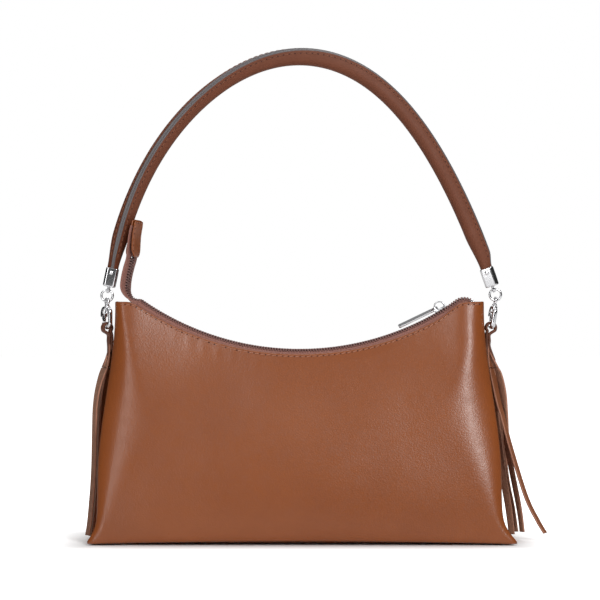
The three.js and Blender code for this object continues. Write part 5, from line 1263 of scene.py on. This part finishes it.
def make_tassel(word, side):
    """A leaf of leather held between the legs of the loop and cut into strips below."""
    pinch = pinch_place(clasp_matrix(side).translation)
    draw = random.Random(word)
    head, strips = Form(), Form()
    for line, share, turn in zip(FRINGE[word], FRINGE_ACROSS, FRINGE_TURNS[word]):
        top_x, top_y, twist = line[0][0], HEAD_WIDTH / 4 * share, radians(turn)
        leaf_top = LEAF_TOP - draw.uniform(0, 1.5)
        held = [(pinch, leaf_top), (lerp(pinch, top_x, 0.3), HEAD_MIDDLE), (top_x, HEAD_FOOT)]
        held = smooth_line(held, 8)
        path = [Vector((side * x, top_y * k / (len(held) - 1), z)) for k, (x, z) in enumerate(held)]
        head.join(fringe_strip(path, side, head_width, lambda t: -twist * t, 0.15 * side))

        phase = draw.uniform(0, 6)
        hanging = smooth_line(line, 9)
        path = []
        for k, (x, z) in enumerate(hanging):
            t = k / (len(hanging) - 1)
            sway = 0.5 * sin(phase + 7 * t) * t * (1 - t)
            y = lerp(top_y, FRINGE_HALF_FAN * share, ease(t, 0, FRINGE_FAN_SHARE))
            path.append(Vector((side * (x + sway), y + 0.5 * sin(phase + 5 * t) * t, z)))
        strips.join(fringe_strip(path, side, strip_width, lambda t: -twist, 0.3 * side))
    finishes = [FRINGE_HIDE, FLESH_SIDE, CUT_EDGE]
    add_piece(f"{word}_tassel_roll", head, finishes, "bag", f"{word}_tassel_head")
    start, end = (Vector((side * x, 0, HEAD_FOOT - drop)) for x, drop in zip(FRINGE_HINGE, (0, FRINGE_BEND)))
    add_piece(f"{word}_fringe", strips, finishes, f"{word}_tassel", f"{word}_tassel",
              bend=("bag", start, end))


# Floor, light and camera

def make_floor():
    """A pale floor that is lit up to white away from the bag, and keeps the shadow under it."""
    mesh = bpy.data.meshes.new("floor")
    half = 5.0
    corners = [(-half, -half, 0), (half, -half, 0), (half, half, 0), (-half, half, 0)]
    mesh.from_pydata(corners, [], [[0, 1, 2, 3]])
    floor = bpy.data.objects.new("floor", mesh)
    floor.location.z = -0.0003
    bpy.context.scene.collection.objects.link(floor)
    paper = bpy.data.materials.new("pale floor")
    paper.use_nodes = True
    tree = paper.node_tree
    shader = tree.nodes["Principled BSDF"]
    tone = add_node(tree, "ShaderNodeTexNoise", Scale=3.0).outputs[0]
    pale = mix_colour(tree, tone, (0.93, 0.93, 0.93, 1), (0.95, 0.95, 0.95, 1))
    tree.links.new(pale, shader.inputs["Base Color"])
    shader.inputs["Roughness"].default_value = 0.9
    shader.inputs["Emission Color"].default_value = (1, 1, 1, 1)
    seen = add_node(tree, "ShaderNodeLightPath").outputs["Is Camera Ray"]
    spot = split(tree, own_place(tree))
    squares = []
    for axis, half_base in (("X", 0.135), ("Y", 0.04)):
        past = calc(tree, "SUBTRACT", calc(tree, "ABSOLUTE", spot[axis]), half_base)
        squares.append(calc(tree, "POWER", calc(tree, "MAXIMUM", past, 0.0), 2.0))
    away = calc(tree, "SQRT", calc(tree, "ADD", *squares))
    fill = remap(tree, away, 0.0, 0.05)
    tree.links.new(calc(tree, "MULTIPLY", seen, fill), shader.inputs["Emission Strength"])
    mesh.materials.append(paper)


def make_world():
    """White behind the bag, with a weak light from all round and dark sides for the gloss to show."""
    world = bpy.data.worlds.new("studio")
    bpy.context.scene.world = world
    world.use_nodes = True
    tree = world.node_tree
    path = add_node(tree, "ShaderNodeLightPath").outputs
    way = split(tree, add_node(tree, "ShaderNodeTexCoord").outputs["Generated"])
    front = remap(tree, way["Y"], -0.98, -0.78, 0.1, 0.03)
    above = remap(tree, way["Z"], 0.45, 0.9, 0.0, 0.6)
    level = calc(tree, "MAXIMUM", path["Is Camera Ray"], path["Is Transmission Ray"])
    for ray, strength in (("Is Glossy Ray", calc(tree, "ADD", front, above)), ("Is Diffuse Ray", 0.11)):
        level = calc(tree, "MAXIMUM", level, calc(tree, "MULTIPLY", path[ray], strength))
    background = tree.nodes["Background"]
    tree.links.new(level, background.inputs["Strength"])
    background.inputs["Color"].default_value = (1, 1, 1, 1)


def make_lights():
    for name, where, target, size, power in (
        ("right softbox", (0.72, -1.5, 1.0), (0, 0, 0.12), (0.3, 0.9), 18.5),
        ("left softbox", (-0.7, -1.52, 0.72), (0, 0, 0.12), (0.36, 1.5), 8.5),
        ("top softbox", (0, 0.5, 1.5), (0, 0, 0.0), (1.8, 1.2), 14),
    ):
        lamp = bpy.data.lights.new(name, "AREA")
        lamp.shape = "RECTANGLE"
        lamp.size, lamp.size_y = size
        lamp.energy = power
        holder = bpy.data.objects.new(name, lamp)
        holder.location = where
        holder.rotation_euler = (Vector(target) - Vector(where)).to_track_quat("-Z", "Y").to_euler()
        bpy.context.scene.collection.objects.link(holder)


def make_camera():
    lens = bpy.data.cameras.new("camera")
    lens.lens, lens.sensor_width = 145.5, 36
    camera = bpy.data.objects.new("camera", lens)
    camera.location = (0.0003, -1.6, 0.158)
    camera.rotation_euler = (pi / 2, 0, 0)
    bpy.context.scene.collection.objects.link(camera)
    bpy.context.scene.camera = camera


bpy.context.scene.view_settings.view_transform = "Standard"
make_floor()
make_world()
make_lights()
make_camera()
make_body()
make_base()
make_lining()
make_top_stitching()
make_zip()
make_slider()
make_tail()
make_strap()
for word, side in SIDES.items():
    make_cap(word, side)
    make_clasp(word, side)
    make_loop_tab(word, side)
    make_tassel(word, side)
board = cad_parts["base_board"].data
board.materials.clear()
board.materials.append(BOARD_FACE)
